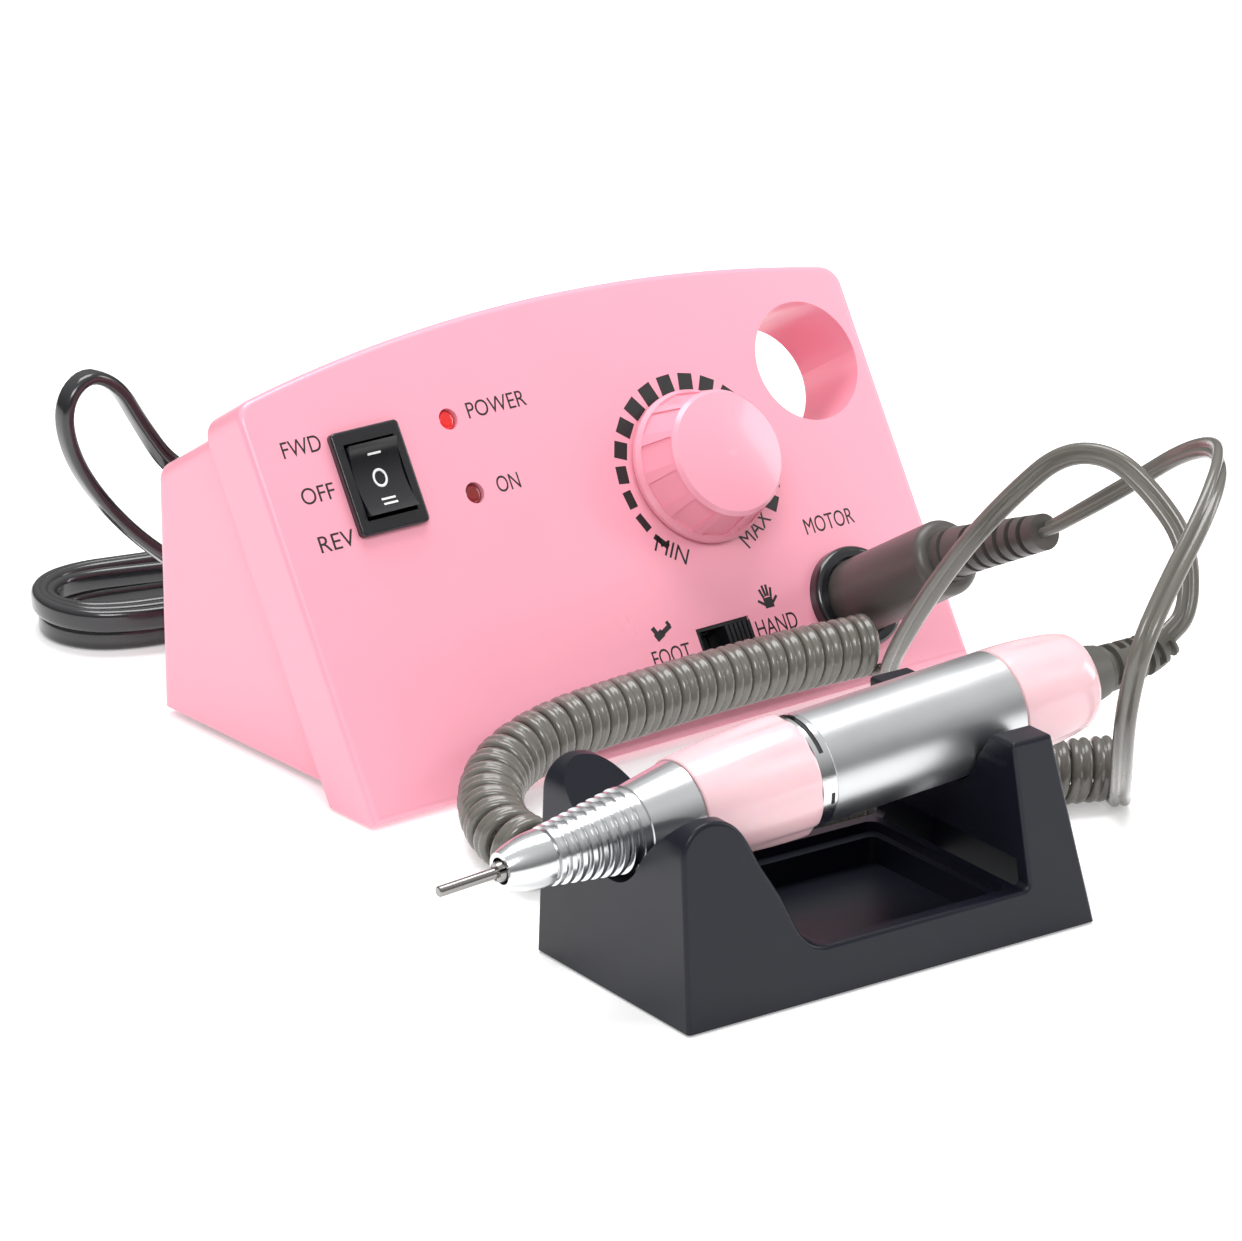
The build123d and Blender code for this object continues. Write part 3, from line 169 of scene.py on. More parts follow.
def swept(name, line, edges, outline):
    """Closed mesh of an outline carried along a line, its width along the edge directions."""
    verts, faces, count = [], [], len(outline)
    for i, (place, edge) in enumerate(zip(line, edges)):
        ahead = (line[min(i + 1, len(line) - 1)] - line[max(i - 1, 0)]).normalized()
        wide = (edge - ahead * edge.dot(ahead)).normalized()
        thick = ahead.cross(wide)
        verts += [place + wide * x + thick * y for x, y in outline]
    for i in range(len(line) - 1):
        for k in range(count):
            a, b = i * count + k, i * count + (k + 1) % count
            faces.append((a, b, b + count, a + count))
    faces.append(tuple(reversed(range(count))))
    faces.append(tuple(range((len(line) - 1) * count, len(line) * count)))
    mesh = bpy.data.meshes.new(name)
    mesh.from_pydata(verts, [], faces)
    mesh.shade_smooth()
    work = bmesh.new()
    work.from_mesh(mesh)
    bmesh.ops.recalc_face_normals(work, faces=work.faces)
    work.to_mesh(mesh)
    work.free()
    piece = bpy.data.objects.new(name, mesh)
    bpy.context.scene.collection.objects.link(piece)
    return piece


shell_low, shell_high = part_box("front_shell")
hole = next(mount for mount in frame["record"]["mounts"] if mount["name"] == "handpiece_hole")
OUT = Vector(hole["axis"])
ACROSS = Vector((1, 0, 0))
UP = OUT.cross(ACROSS)
knob_centre = Vector(joints["knob_turn"]["pos_m"]) - 0.005 * OUT
PANEL_FOOT = knob_centre - 0.0616 * UP
PANEL_FOOT.x = (shell_low.x + shell_high.x) / 2


def from_foot(*points):
    """Points given in millimetres from the middle of the panel's bottom edge."""
    return [PANEL_FOOT + Vector(point) / 1000 for point in points]


curl_route = from_foot(
    (51.2, -4.6, 14.6), (32.0, -2.2, 14.8), (4.0, -1.3, 14.8), (-20.0, -1.5, 14.5), (-41.0, -1.8, 13.7),
    (-59.0, -6.0, 11.0), (-72.0, -19.0, 8.6), (-79.5, -36.0, 7.9), (-76.5, -54.0, 7.9),
    (-60.0, -65.5, 7.9), (-36.0, -67.2, 7.9), (-8.0, -67.5, 7.9), (15.0, -70.5, 7.9),
    (35.0, -76.3, 7.9), (53.0, -85.2, 7.9))

# The turns lie shoulder to shoulder on the inside of each bend and fan open on its outside.
FINE_STEP = 0.0002
(curl_middle,) = evenly(FINE_STEP, smooth_line(curl_route))
WINDOW, SHARPEST = 30, 55
pitches = []
for i in range(1, len(curl_middle) - 1):
    here, before = curl_middle[i], curl_middle[max(i - WINDOW, 0)]
    after = curl_middle[min(i + WINDOW, len(curl_middle) - 1)]
    bend = ((after - here).normalized() - (here - before).normalized()).length
    pitches.append(TURNS_APART * (1 + min(bend / (WINDOW * FINE_STEP), SHARPEST) * TURN_RADIUS))
steps = [(b - a).length for a, b in zip(curl_middle[1:], curl_middle[2:])]
START_TURN, END_TURN = radians(225), radians(165)
turned = sum(2 * pi * step / pitch for step, pitch in zip(steps, pitches))
# As many turns as fit, with the last one ending under the curl where the plug lead leaves it.
whole = round((turned - START_TURN + END_TURN) / (2 * pi)) * 2 * pi + START_TURN - END_TURN
curl_line, curl_edges, phase = [], [], START_TURN
side = Vector((0, 0, 1))
for i, (step, pitch) in enumerate(zip(steps, pitches), start=1):
    ahead = (curl_middle[i + 1] - curl_middle[i - 1]).normalized()
    side = (side - ahead * side.dot(ahead)).normalized()
    phase -= 2 * pi * step / pitch * whole / turned
    curl_line.append(curl_middle[i] + TURN_RADIUS * (side * cos(phase) + ahead.cross(side) * sin(phase)))
    curl_edges.append(ahead)
CORD_STEP = 0.0015
curl_line, curl_edges = evenly(CORD_STEP, curl_line, curl_edges)

curl_start, curl_end = curl_line[0], curl_line[-1]
leaving = (curl_line[-1] - curl_line[-4]).normalized()
END_RUN = 0.004
plug_lead_points = [curl_end, curl_end + END_RUN * leaving] + from_foot(
    (47.0, -93.5, 5.4), (40.5, -100.5, 10.5), (32.5, -109.0, 18.5), (24.5, -117.5, 29.0),
    (18.5, -124.5, 41.5), (19.5, -127.0, 55.5), (29.6, -124.5, 67.0), (42.4, -121.0, 78.0), (55.0, -113.5, 85.0),
    (65.5, -101.0, 85.0), (69.0, -87.0, 79.0), (67.0, -76.0, 70.5), (63.0, -65.0, 62.0), (59.4, -53.1, 53.2),
    (59.4, -48.5, 51.2))
plug_lead_edges = [curl_edges[-1], curl_edges[-1], (0.85, -0.5, 0), (0.8, -0.6, 0), (0.78, -0.62, 0), (0.78, -0.62, 0),
                   (0.78, -0.62, 0), (0.75, -0.6, 0.1), (0.7, -0.6, -0.1), (0.6, -0.5, -0.3), (0.35, -0.3, -0.7),
                   (-0.2, 0.2, -0.9), (-0.4, 0.3, -0.9), (-0.5, 0.2, -0.8), (-0.6, 0, -0.7), (-0.8, 0, -0.5),
                   (-1, 0, -0.2)]
plug_line, plug_edges = ribbon(plug_lead_points, plug_lead_edges)
cord_line = curl_line + plug_line[1:]
curly_cord = swept("curly_cord_twin_lead", cord_line, curl_edges + plug_edges[1:], twin_section(CORE))
cord_grey = finish("cord_grey_pvc", (0.135, 0.128, 0.112), 0.24, coat=0.35, mottle=0.08, grain=0.0004, depth=0.000006)
curly_cord.data.materials.append(cord_grey)
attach(curly_cord, "control_box")
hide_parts("curly_cord", "plug_lead")

# ---------------------------------------------------------------- handpiece lead
# The same twin lead, uncurled: it leaves the rubber boot upwards, bows over in front of the motor
# plug and runs down into the first turn of the curl.
twist_pos = Vector(joints["sleeve_twist"]["pos_m"])
AXIS = Vector(joints["sleeve_twist"]["axis"])
ASIDE = AXIS.cross(Vector((0, 0, 1))).normalized()
ABOVE = ASIDE.cross(AXIS)
SLEEVE_MIDDLE = 0.038


def on_handpiece(along, above=0.0, aside=0.0):
    """A place from the handpiece's own zero, in metres along, above and beside its axis."""
    return twist_pos + AXIS * (along - SLEEVE_MIDDLE) + ABOVE * above + ASIDE * aside


BOOT_START, BOOT_STRAIGHT, BOOT_BEND_RADIUS, BOOT_BEND = 0.1277, 0.016, 0.019, radians(30)
boot_tip = on_handpiece(BOOT_START + BOOT_STRAIGHT + BOOT_BEND_RADIUS * sin(BOOT_BEND),
                        BOOT_BEND_RADIUS * (1 - cos(BOOT_BEND)))
boot_way = AXIS * cos(BOOT_BEND) + ABOVE * sin(BOOT_BEND)
arriving = (curl_line[3] - curl_line[0]).normalized()
handpiece_lead_points = [boot_tip - END_RUN * boot_way, boot_tip, boot_tip + 2 * END_RUN * boot_way] + from_foot(
    (55.0, -104.0, 65.5), (53.5, -94.0, 75.0), (50.5, -84.0, 81.5), (46.0, -73.0, 80.0),
    (41.5, -63.0, 69.0), (38.0, -52.0, 55.4), (38.3, -38.0, 38.0), (42.0, -25.0, 22.5), (47.0, -16.5, 14.5)) + [
    curl_start - END_RUN * arriving, curl_start]
handpiece_lead_edges = [(0.6, -0.2, -0.6), (0.6, -0.3, -0.5), (0.65, -0.5, -0.3), (0.75, -0.6, 0), (0.7, -0.6, 0.2),
                        (0.45, -0.5, 0.6), (0.2, -0.3, 0.9), (-0.4, 0.4, 0.8), (-0.75, 0.6, 0.4), (-0.78, 0.62, 0.2),
                        (-0.9, 0.4, 0), (-1, 0.1, 0), curl_edges[0], curl_edges[0]]
lead_line, lead_edges = ribbon(handpiece_lead_points, handpiece_lead_edges)
handpiece_lead = swept("handpiece_twin_lead", lead_line, lead_edges, twin_section(CORE))
handpiece_lead.data.materials.append(cord_grey)
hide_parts("handpiece_lead")
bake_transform(handpiece_lead)
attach(handpiece_lead, "control_box")

# ---------------------------------------------------------------- mains cord
# Flat two-core cord, 5.6 by 3.2 mm, with a glossy black jacket. It makes one standing loop beside
# the box and is then laid in an oval hank on the table, its turns standing on edge.
CORD_WIDE, CORD_THICK = 0.0056, 0.0032


def flat_section(wide, thick, per_end=9):
    """Outline with two round ends, as wide and thick as a flat cord."""
    outline = []
    for middle, facing in ((wide / 2 - thick / 2, 0.0), (thick / 2 - wide / 2, pi)):
        for k in range(per_end):
            turn = facing + radians(-90 + 180 * k / (per_end - 1))
            outline.append((middle + thick / 2 * cos(turn), thick / 2 * sin(turn)))
    return outline


mains_points = from_foot(
    (-52.0, 101.0, 44.0), (-52.0, 105.4, 44.0), (-52.8, 113.5, 44.8), (-60.0, 119.0, 49.0), (-67.5, 119.5, 61.0),
    (-74.0, 119.0, 72.0), (-83.0, 118.5, 76.5), (-90.0, 118.0, 70.0), (-88.0, 118.0, 57.5), (-79.5, 118.0, 44.0),
    (-66.0, 119.0, 30.0), (-50.0, 120.0, 18.5), (-36.0, 121.8, 9.5), (-26.0, 121.7, 5.0))
mains_edges = [
    (1, 0, 0), (1, 0, 0.1), (0.8, -0.1, 0.5), (0.3, -0.8, 0.4), *[(0, -1, 0)] * 6,
    (0, -1, 0.1), (0, -0.8, 0.5), (0, -0.4, 0.9), (0, 0, 1)]
HANK_MIDDLE, HANK_TURN = Vector((-26.4, 138.9)), radians(-15)
HANK_STRAIGHT, HANK_RADIUS = 68.0, 16.0
PER_TURN = 24
# How far each turn lies out from the middle of the ring, and how high, in millimetres.
turns = [(3.0, 3.0), (-0.4, 3.0), (-3.5, 3.0), (-2.6, 8.7), (0.8, 8.8), (3.2, 8.6)]
around = 2 * HANK_STRAIGHT + 2 * pi * HANK_RADIUS
# The first turn starts where the standing loop comes down on it.
FIRST_PLACE, LAST_PLACE = 5, (len(turns) - 1) * PER_TURN + 1
for k in range(FIRST_PLACE, LAST_PLACE + 1):
    turn, share = divmod(k / PER_TURN, 1)
    (out_a, high_a), (out_b, high_b) = turns[int(turn)], turns[min(int(turn) + 1, len(turns) - 1)]
    ease = share * share * (3 - 2 * share)
    radius = HANK_RADIUS + out_a + (out_b - out_a) * ease + 0.35 * sin(5 * pi * share + 1.3 * turn)
    high = high_a + (high_b - high_a) * ease
    gone = share * around
    half = HANK_STRAIGHT / 2
    loose = 1.5 * ((3 * turn) % 4 - 1) if high > 4 else 0.6 * turn
    if gone < HANK_STRAIGHT:
        place = (gone - half, -radius)
    elif gone < HANK_STRAIGHT + pi * HANK_RADIUS:
        swing = (gone - HANK_STRAIGHT) / HANK_RADIUS - pi / 2
        place = (half + radius * cos(swing), radius * sin(swing))
    elif gone < 2 * HANK_STRAIGHT + pi * HANK_RADIUS:
        place = (half - (gone - HANK_STRAIGHT - pi * HANK_RADIUS), radius)
    else:
        swing = (gone - 2 * HANK_STRAIGHT - pi * HANK_RADIUS) / HANK_RADIUS + pi / 2
        place = (-half + (radius + loose) * cos(swing), radius * sin(swing))
    turned_place = HANK_MIDDLE + Matrix.Rotation(HANK_TURN, 2) @ Vector(place)
    mains_points += from_foot((*turned_place, high))
    mains_edges.append((0, 0, 1))
mains_points += from_foot(
    (-14.0, 115.5, 8.4), (-3.0, 113.6, 7.8), (7.0, 112.7, 7.2), (15.0, 112.6, 6.9), (21.0, 112.6, 6.9))
mains_edges += [(0, 0, 1), (0, 0.3, 0.95), (0, 0.7, 0.7), (0, 1, 0.1), (0, 1, 0)]
mains_line, mains_way = ribbon(mains_points, mains_edges, step=CORD_STEP)
mains_cord = swept("mains_flat_cord", mains_line, mains_way, flat_section(CORD_WIDE, CORD_THICK))
mains_cord.data.materials.append(
    finish("cord_black_pvc", (0.012, 0.012, 0.014), 0.22, coat=0.5, mottle=0.1, grain=0.0005, depth=0.000006))
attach(mains_cord, "control_box")
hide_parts("mains_cord", "mains_coil")

# ---------------------------------------------------------------- finishes of the moulded and turned parts
# Shells and switches are moulded plastic, the handpiece is blasted and polished aluminium, and the
# works inside are steel, brass, copper and glass fibre. Each part keeps its exact form.


def dress(finish_made, *names):
    """Gives CAD nodes their finish."""
    for name in names:
        materials = nodes[name].data.materials
        if not materials:
            materials.append(finish_made)
        for i in range(len(materials)):
            materials[i] = finish_made


pink = finish("pink_gloss_abs", (0.90, 0.36, 0.46), 0.30, coat=0.25, mottle=0.015, grain=0.0009, depth=0.000004)
dress(pink, "front_shell", "rear_shell", "speed_knob")
dress(finish("matt_dark_abs", (0.03, 0.03, 0.035), 0.6, grain=0.0005, depth=0.00003),
      "base_plate", "fuse_holder", "mains_gland")
black = finish("black_gloss_abs", (0.008, 0.008, 0.010), 0.2, coat=0.3, mottle=0.1)
dress(black, "rocker_housing", "rocker_button", "slide_switch_body", "slide_switch_lever", "motor_socket",
      "fuse_cap", "foot_pedal_jack", "mains_plug", "power_transistor", "capacitors")
dress(finish("zinc_steel", (0.6, 0.6, 0.62), 0.3, metal=1), "base_screws", "potentiometer_body", "potentiometer_nut",
      "potentiometer_shaft", "socket_nut", "cam_ring", "motor_can", "spindle_bearings", "motor_bearings", "spindle",
      "drive_coupling", "motor_shaft")
dress(finish("black_rubber", (0.02, 0.02, 0.02), 0.75, grain=0.0004, depth=0.00004), "rubber_feet", "cradle_pads")
dress(finish("brass_contacts", (0.75, 0.58, 0.25), 0.3, metal=1), "rocker_terminals", "mains_pins")
dress(finish("red_lens", (0.75, 0.01, 0.01), 0.12, coat=1), "power_led")
dress(finish("dark_red_lens", (0.22, 0.005, 0.006), 0.12, coat=1), "on_led")
dress(finish("plug_grey_pvc", (0.075, 0.068, 0.062), 0.38, grain=0.0005, depth=0.00001), "motor_plug", "plug_relief",
      "handpiece_relief")
dress(finish("bright_nickel", (0.75, 0.75, 0.75), 0.12, metal=1), "plug_shell")
dress(finish("board_green_mask", (0.02, 0.16, 0.06), 0.35, mottle=0.2), "control_board")
dress(finish("sink_aluminium", (0.6, 0.61, 0.63), 0.35, metal=1), "heat_sink")
dress(finish("core_steel", (0.12, 0.12, 0.13), 0.5, metal=0.8), "transformer_core", "motor_magnets")
dress(finish("winding_tape", (0.55, 0.38, 0.08), 0.4), "transformer_coil")
dress(finish("fuse_glass", (0.7, 0.75, 0.73), 0.1, coat=1), "fuse_cartridge")
navy = finish("cradle_navy_abs", (0.0065, 0.0075, 0.014), 0.36, mottle=0.08, grain=0.0006, depth=0.000006)
navy.node_tree.nodes["Principled BSDF"].inputs["Specular IOR Level"].default_value = 0.28
dress(navy, "cradle")
satin = finish("blasted_aluminium", (0.62, 0.63, 0.64), 0.34, metal=1, mottle=0.06, grain=0.00035, depth=0.00002)
dress(satin, "motor_casing")
dress(finish("polished_aluminium", (0.72, 0.73, 0.74), 0.2, metal=1, mottle=0.03), "nose_cone", "index_ring")
dress(finish("tool_steel", (0.30, 0.29, 0.28), 0.25, metal=1), "collet", "mandrel_bit")
dress(finish("carbon", (0.02, 0.02, 0.02), 0.6), "carbon_brushes")
dress(finish("copper_wire", (0.72, 0.33, 0.16), 0.3, metal=1), "armature", "commutator")

# ---------------------------------------------------------------- printing on the panel
# Black pad printing on the pink front: the switch and lamp words, the dial scale of blocks that
# grow towards full speed, and two small pictures for foot and hand control.
def on_panel(u, v, out=0.0):
    """A place on the panel's face, in millimetres across and up from the middle of its foot."""
    return PANEL_FOOT + (ACROSS * u + UP * v + OUT * out) / 1000


def panel_turn(turn):
    """Lies flat on the panel, turned by an angle in degrees."""
    flat = Matrix((ACROSS, UP, OUT)).transposed().to_4x4()
    return flat @ Matrix.Rotation(radians(turn), 4, "Z")


def word(text, u, v, wide, high, turn=0.0):
    """A printed word, wide by high millimetres."""
    bpy.ops.object.text_add()
    label = bpy.context.object
    label.data.body = text
    label.data.align_x, label.data.align_y = "CENTER", "CENTER"
    label.data.extrude = 0.02
    bpy.ops.object.convert(target="MESH")
    label = bpy.context.object
    corners = [vertex.co for vertex in label.data.vertices]
    low = Vector([min(c[i] for c in corners) for i in range(3)])
    top = Vector([max(c[i] for c in corners) for i in range(3)])
    fit = Matrix.Diagonal((wide / 1000 / (top.x - low.x), high / 1000 / (top.y - low.y), 0.001, 1))
    label.data.transform(fit @ Matrix.Translation(-(low + top) / 2))
    label.matrix_world = Matrix.Translation(on_panel(u, v, 0.01)) @ panel_turn(turn)
    return label


def block(u, v, wide, high, turn=0.0):
    """A printed bar, wide by high millimetres."""
    bpy.ops.mesh.primitive_cube_add(size=1)
    bar = bpy.context.object
    bar.data.transform(Matrix.Diagonal((wide / 1000, high / 1000, 0.00004, 1)))
    bar.matrix_world = Matrix.Translation(on_panel(u, v, 0.01)) @ panel_turn(turn)
    return bar


def joined(name, pieces):
    """One piece made of several, with its transforms applied so that its origin is the world origin."""
    bpy.ops.object.select_all(action="DESELECT")
    for piece in pieces:
        piece.select_set(True)
    bpy.context.view_layer.objects.active = pieces[0]
    bpy.ops.object.join()
    bpy.ops.object.transform_apply(location=True, rotation=True, scale=True)
    whole = bpy.context.object
    whole.name = name
    bpy.ops.object.select_all(action="DESELECT")
    return whole


prints = [
    word("FWD", -74.4, 88.1, 10.5, 3.8), word("OFF", -74.1, 76.9, 9.0, 3.8), word("REV", -73.3, 65.6, 9.6, 3.8),
    word("POWER", -20.2, 87.2, 16.6, 3.8), word("ON", -24.0, 69.1, 6.4, 3.8),
    word("MIN", 13.8, 44.5, 9.0, 3.9, -35), word("MAX", 38.7, 44.5, 10.4, 3.9, 31),
    word("MOTOR", 60.1, 41.7, 14.8, 3.9), word("FOOT", 4.2, 21.1, 11.0, 3.9), word("HAND", 35.7, 21.5, 12.0, 3.9)]
SCALE_BLOCKS, SCALE_STEP, SCALE_FIRST, SCALE_OUTER = 17, 16.0, 221.0, 22.9
DIAL_U, DIAL_V, BLOCK_TURN = 28.5, 61.6, 11.2
for k in range(SCALE_BLOCKS):
    turn = SCALE_FIRST - SCALE_STEP * k
    inner = 21.5 - 4.2 * min(1.0, k / 8)
    middle = (SCALE_OUTER + inner) / 2
    prints.append(block(DIAL_U + middle * cos(radians(turn)), DIAL_V + middle * sin(radians(turn)),
                        middle * radians(BLOCK_TURN), SCALE_OUTER - inner, turn - 90))
# The foot: a sole and a heel on a slant.
prints += [block(2.6, 26.2, 2.6, 1.9, 25), block(5.0, 27.2, 3.0, 1.2, 25), block(1.6, 27.6, 1.2, 1.6, 25),
           block(5.9, 28.3, 0.9, 1.4, 25)]
# The hand: a palm, four fingers and a thumb.
prints.append(block(35.5, 26.9, 2.6, 2.5))
for u, v, turn, long in ((34.2, 29.3, 16, 2.3), (35.1, 29.8, 5, 2.7), (36.0, 29.8, -5, 2.7), (36.9, 29.2, -16, 2.2),
                         (33.5, 27.2, 52, 2.2), (37.5, 27.4, -50, 2.0)):
    prints.append(block(u, v, 0.65, long, turn))
print_black = finish("print_black", (0.012, 0.011, 0.012), 0.5, mottle=0.0)
panel_print = joined("panel_print", prints)
panel_print.data.materials.clear()
panel_print.data.materials.append(print_black)
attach(panel_print, "control_box")

# ---------------------------------------------------------------- marks on the rocker
# White marks moulded into the black rocker: one bar at the forward end, a ring in the middle for
# off, and two bars at the reverse end.
button = nodes["rocker_button"]


def on_button(v):
    """A place on the rocker's curved face and the way the face looks there."""
    to_button = button.matrix_world.inverted()
    start = on_panel(-57.9, v, 30)
    place, facing = button.ray_cast(to_button @ start, to_button.to_3x3() @ -OUT)[1:3]
    return button.matrix_world @ place, (button.matrix_world.to_3x3() @ facing).normalized()


marks = []
for v, wide in ((82.5, 3.6), (71.9, 3.8), (70.7, 3.8)):
    place, facing = on_button(v)
    bpy.ops.mesh.primitive_cube_add(size=1)
    mark = bpy.context.object
    mark.data.transform(Matrix.Diagonal((wide / 1000, 0.0005, 0.0001, 1)))
    mark.matrix_world = Matrix.Translation(place) @ Matrix((ACROSS, facing.cross(ACROSS), facing)).transposed().to_4x4()
    marks.append(mark)
place, facing = on_button(76.9)
bpy.ops.mesh.primitive_torus_add(major_radius=0.00165, minor_radius=0.00028, major_segments=48, minor_segments=8)
mark = bpy.context.object
mark.data.transform(Matrix.Diagonal((1, 1.15, 0.6, 1)))
on_face = Matrix((ACROSS, facing.cross(ACROSS), facing)).transposed().to_4x4()
mark.matrix_world = Matrix.Translation(place + 0.0001 * facing) @ on_face
marks.append(mark)
rocker_marks = joined("rocker_marks", marks)
rocker_marks.data.materials.clear()
rocker_marks.data.materials.append(finish("mark_white", (0.8, 0.8, 0.8), 0.5, mottle=0.0))
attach(rocker_marks, "rocker")

# ---------------------------------------------------------------- twist sleeve
# Translucent pale pink moulding round the middle of the handpiece, turned to lock the bit. Eight
# shallow finger flutes run out to its rear rim.
ROUND = 96


def shell(name, rows, finish_made):
    """Closed skin over rows: each has a middle, two directions across it and a radius by turn."""
    work = bmesh.new()
    loops = []
    for middle, over, beside, radius in rows:
        loops.append([work.verts.new(middle + (over * cos(2 * pi * k / ROUND) + beside * sin(2 * pi * k / ROUND))
                                     * radius(2 * pi * k / ROUND)) for k in range(ROUND)])
    for a, b in zip(loops, loops[1:] + loops[:1]):
        for k in range(ROUND):
            work.faces.new((a[k], a[(k + 1) % ROUND], b[(k + 1) % ROUND], b[k]))
    bmesh.ops.recalc_face_normals(work, faces=work.faces)
    mesh = bpy.data.meshes.new(name)
    work.to_mesh(mesh)
    work.free()
    piece = bpy.data.objects.new(name, mesh)
    bpy.context.scene.collection.objects.link(piece)
    mesh.materials.append(finish_made)
    piece.select_set(True)
    bpy.context.view_layer.objects.active = piece
    bpy.ops.object.shade_smooth_by_angle(angle=radians(35))
    piece.select_set(False)
    return piece


def round_row(along, radius, depth=0.0, flutes=8):
    """A row square to the handpiece's axis, in millimetres, with shallow flutes."""
    return (on_handpiece(along / 1000), ABOVE, ASIDE,
            lambda turn: (radius - depth * max(0.0, cos(flutes * turn)) ** 1.5) / 1000)


sleeve_rows = [round_row(40.0, 10.5), round_row(24.0, 10.5), round_row(24.0, 11.2), round_row(24.25, 11.45)]
for k in range(1, 24):
    share = k / 24
    swell = 11.5 + 1.75 * sin(share * pi / 2) ** 1.1
    deep = 0.62 * max(0.0, min(1.0, (share - 0.22) / 0.5)) ** 1.2
    sleeve_rows.append(round_row(24.25 + 26.3 * share, swell, deep))
sleeve_rows += [round_row(50.9, 13.2, 0.6), round_row(51.4, 13.0, 0.5), round_row(51.6, 12.6, 0.3),
                round_row(51.6, 10.95), round_row(40.0, 10.95)]
sleeve_pink = finish("sleeve_pink_pc", (0.86, 0.56, 0.60), 0.24, coat=0.35, mottle=0.02, grain=0.001, depth=0.000002)
sleeve_pink.node_tree.nodes["Principled BSDF"].inputs["Subsurface Weight"].default_value = 0.25
sleeve_pink.node_tree.nodes["Principled BSDF"].inputs["Subsurface Scale"].default_value = 0.003
sleeve = shell("twist_sleeve_moulding", sleeve_rows, sleeve_pink)
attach(sleeve, "sleeve")
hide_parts("twist_sleeve")

# ---------------------------------------------------------------- end cap
# The same pale pink moulding closes the motor's end: it keeps the casing's width almost to its
# rounded rear rim, where the boot comes out.
cap_rows = [round_row(99.9, 7.5), round_row(99.9, 10.9), round_row(105.98, 10.9), round_row(106.0, 11.9),
            round_row(106.25, 12.25)]
for k in range(1, 16):
    share = k / 16
    cap_rows.append(round_row(106.3 + 18.7 * share, 12.3 - 1.3 * share ** 2.4, 0.35 * sin(pi * share)))
cap_rows += [round_row(126.2, 10.7), round_row(127.2, 10.1), round_row(127.65, 9.2), round_row(127.7, 7.8),
             round_row(127.0, 7.5)]
end_cap = shell("end_cap_moulding", cap_rows, sleeve_pink)
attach(end_cap, "handpiece")
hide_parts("end_cap")

# ---------------------------------------------------------------- handpiece boot
# Moulded rubber over the lead: it bends upwards with the lead, and rows of slots cut half way
# round it, turn and turn about, let it flex.
BOOT_FAT, BOOT_WAIST, BOOT_THIN, BOOT_BORE = 0.0074, 0.0052, 0.0043, 0.0019
WAIST_AT, SLOT_ROWS, SLOT_PITCH, SLOT_DEPTH = 0.35, 6, 0.0030, 0.0013
boot_length = BOOT_STRAIGHT + BOOT_BEND_RADIUS * BOOT_BEND
ribs_from = boot_length - SLOT_ROWS * SLOT_PITCH - 0.001


def boot_row(gone, inner=None):
    """A row of the boot, at a distance along its bent middle."""
    bent = max(0.0, gone - BOOT_STRAIGHT) / BOOT_BEND_RADIUS
    middle = on_handpiece(BOOT_START + min(gone, BOOT_STRAIGHT) + BOOT_BEND_RADIUS * sin(bent),
                          BOOT_BEND_RADIUS * (1 - cos(bent)))
    over = ABOVE * cos(bent) - AXIS * sin(bent)
    share = max(0.0, gone) / boot_length
    if share > WAIST_AT:
        full = BOOT_WAIST + (BOOT_THIN - BOOT_WAIST) * (share - WAIST_AT) / (1 - WAIST_AT)
    elif gone < ribs_from:
        full = BOOT_FAT + (BOOT_WAIST - BOOT_FAT) * share / WAIST_AT
    else:
        full = BOOT_WAIST
    row, within = divmod((gone - ribs_from) / SLOT_PITCH, 1)
    in_slot = gone > ribs_from and row < SLOT_ROWS and within > 0.45
    side_on = pi / 4 if row % 2 else -pi / 4

    def radius(turn):
        if inner:
            return inner
        return full - (SLOT_DEPTH if in_slot and abs(cos(turn + side_on)) > 0.35 else 0.0)
    return middle, over, ASIDE, radius


boot_rows = [boot_row(-0.003, BOOT_BORE), boot_row(-0.003, 0.0050), boot_row(0.0, 0.0050)]
boot_rows += [boot_row(0.0001 + (boot_length - 0.0003) * k / 110) for k in range(111)]
boot_rows += [boot_row(boot_length, 0.0036), boot_row(boot_length, BOOT_BORE)]
boot_rubber = finish("boot_grey_rubber", (0.085, 0.082, 0.070), 0.5, grain=0.0004, depth=0.00001)
boot = shell("handpiece_boot", boot_rows, boot_rubber)
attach(boot, "handpiece")
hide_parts("handpiece_relief")

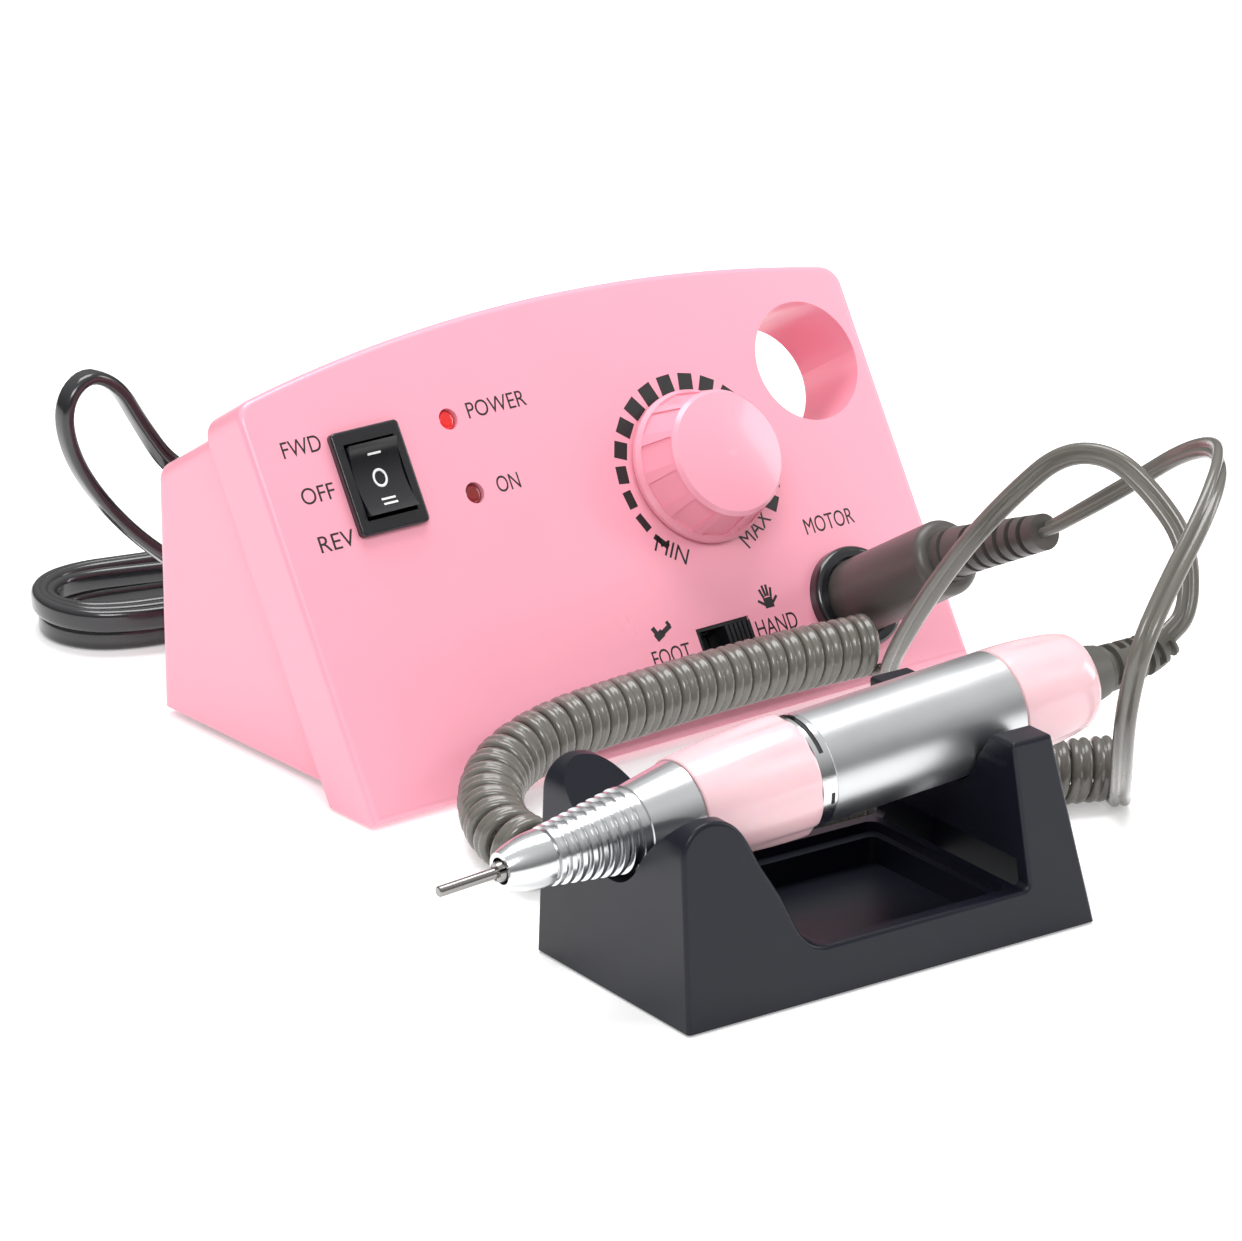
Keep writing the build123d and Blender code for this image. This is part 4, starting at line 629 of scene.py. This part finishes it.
# ---------------------------------------------------------------- marks on the index ring
# Black-filled lines engraved round the ring, which show how far the sleeve is turned.
lines = []
LINE_RADIUS = 0.01226
for along, first, last, wide in ((53.6, 4, 52, 1.0), (52.7, -14, -4, 0.5), (54.3, -12, -2, 0.5), (54.4, 94, 106, 0.8)):
    arc = [on_handpiece(along / 1000, LINE_RADIUS * cos(radians(a)), LINE_RADIUS * sin(radians(a)))
           for a in range(first, last + 1)]
    lines.append(swept("ring_line", arc, [AXIS] * len(arc),
                       [(x * wide / 2000, y * 0.00006) for x, y in ((-1, -1), (1, -1), (1, 1), (-1, 1))]))
ring_marks = joined("ring_marks", lines)
ring_marks.data.materials.clear()
ring_marks.data.materials.append(print_black)
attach(ring_marks, "handpiece")

# ---------------------------------------------------------------- table and light
# A white table that runs back out of sight, under soft light from above and from both sides.
bpy.ops.mesh.primitive_plane_add(size=12, location=(0, 0, 0))
table = bpy.context.object
table.name = "table"
white = finish("white_table", (0.9, 0.9, 0.9), 0.6, mottle=0.0, depth=0.0)
white.node_tree.nodes["Principled BSDF"].inputs["Emission Color"].default_value = (1, 1, 1, 1)
white.node_tree.nodes["Principled BSDF"].inputs["Emission Strength"].default_value = 0.35
table.data.materials.append(white)


def soft_light(name, place, aim, wide, high, power):
    """A rectangular soft box that faces a point."""
    bpy.ops.object.light_add(type="AREA", location=place)
    lamp = bpy.context.object
    lamp.name = name
    lamp.data.shape = "RECTANGLE"
    lamp.data.size, lamp.data.size_y = wide, high
    lamp.data.energy = power
    lamp.rotation_euler = (Vector(aim) - Vector(place)).to_track_quat("-Z", "Y").to_euler()


soft_light("key", (-0.9, -0.9, 1.2), (0, 0, 0.05), 0.7, 0.5, 12)
soft_light("top", (0.15, 0.25, 1.3), (0, 0, 0.03), 1.0, 0.6, 13)
soft_light("right", (1.2, -0.6, 0.5), (0, 0, 0.05), 0.3, 0.7, 4)
world = bpy.data.worlds.new("studio")
world.use_nodes = True
sky = world.node_tree
heading = sky.nodes.new("ShaderNodeNewGeometry")
split = sky.nodes.new("ShaderNodeSeparateXYZ")
fade = sky.nodes.new("ShaderNodeMapRange")
fade.inputs["From Min"].default_value = -0.05
fade.inputs["From Max"].default_value = -0.75
fade.inputs["To Min"].default_value = 0.10
fade.inputs["To Max"].default_value = 0.72
sky.links.new(heading.outputs["Incoming"], split.inputs["Vector"])
sky.links.new(split.outputs["Z"], fade.inputs["Value"])
sky.links.new(fade.outputs["Result"], sky.nodes["Background"].inputs["Strength"])
sky.nodes["Background"].inputs["Color"].default_value = (1, 1, 1, 1)
bpy.context.scene.world = world
bpy.context.scene.view_settings.view_transform = "Standard"
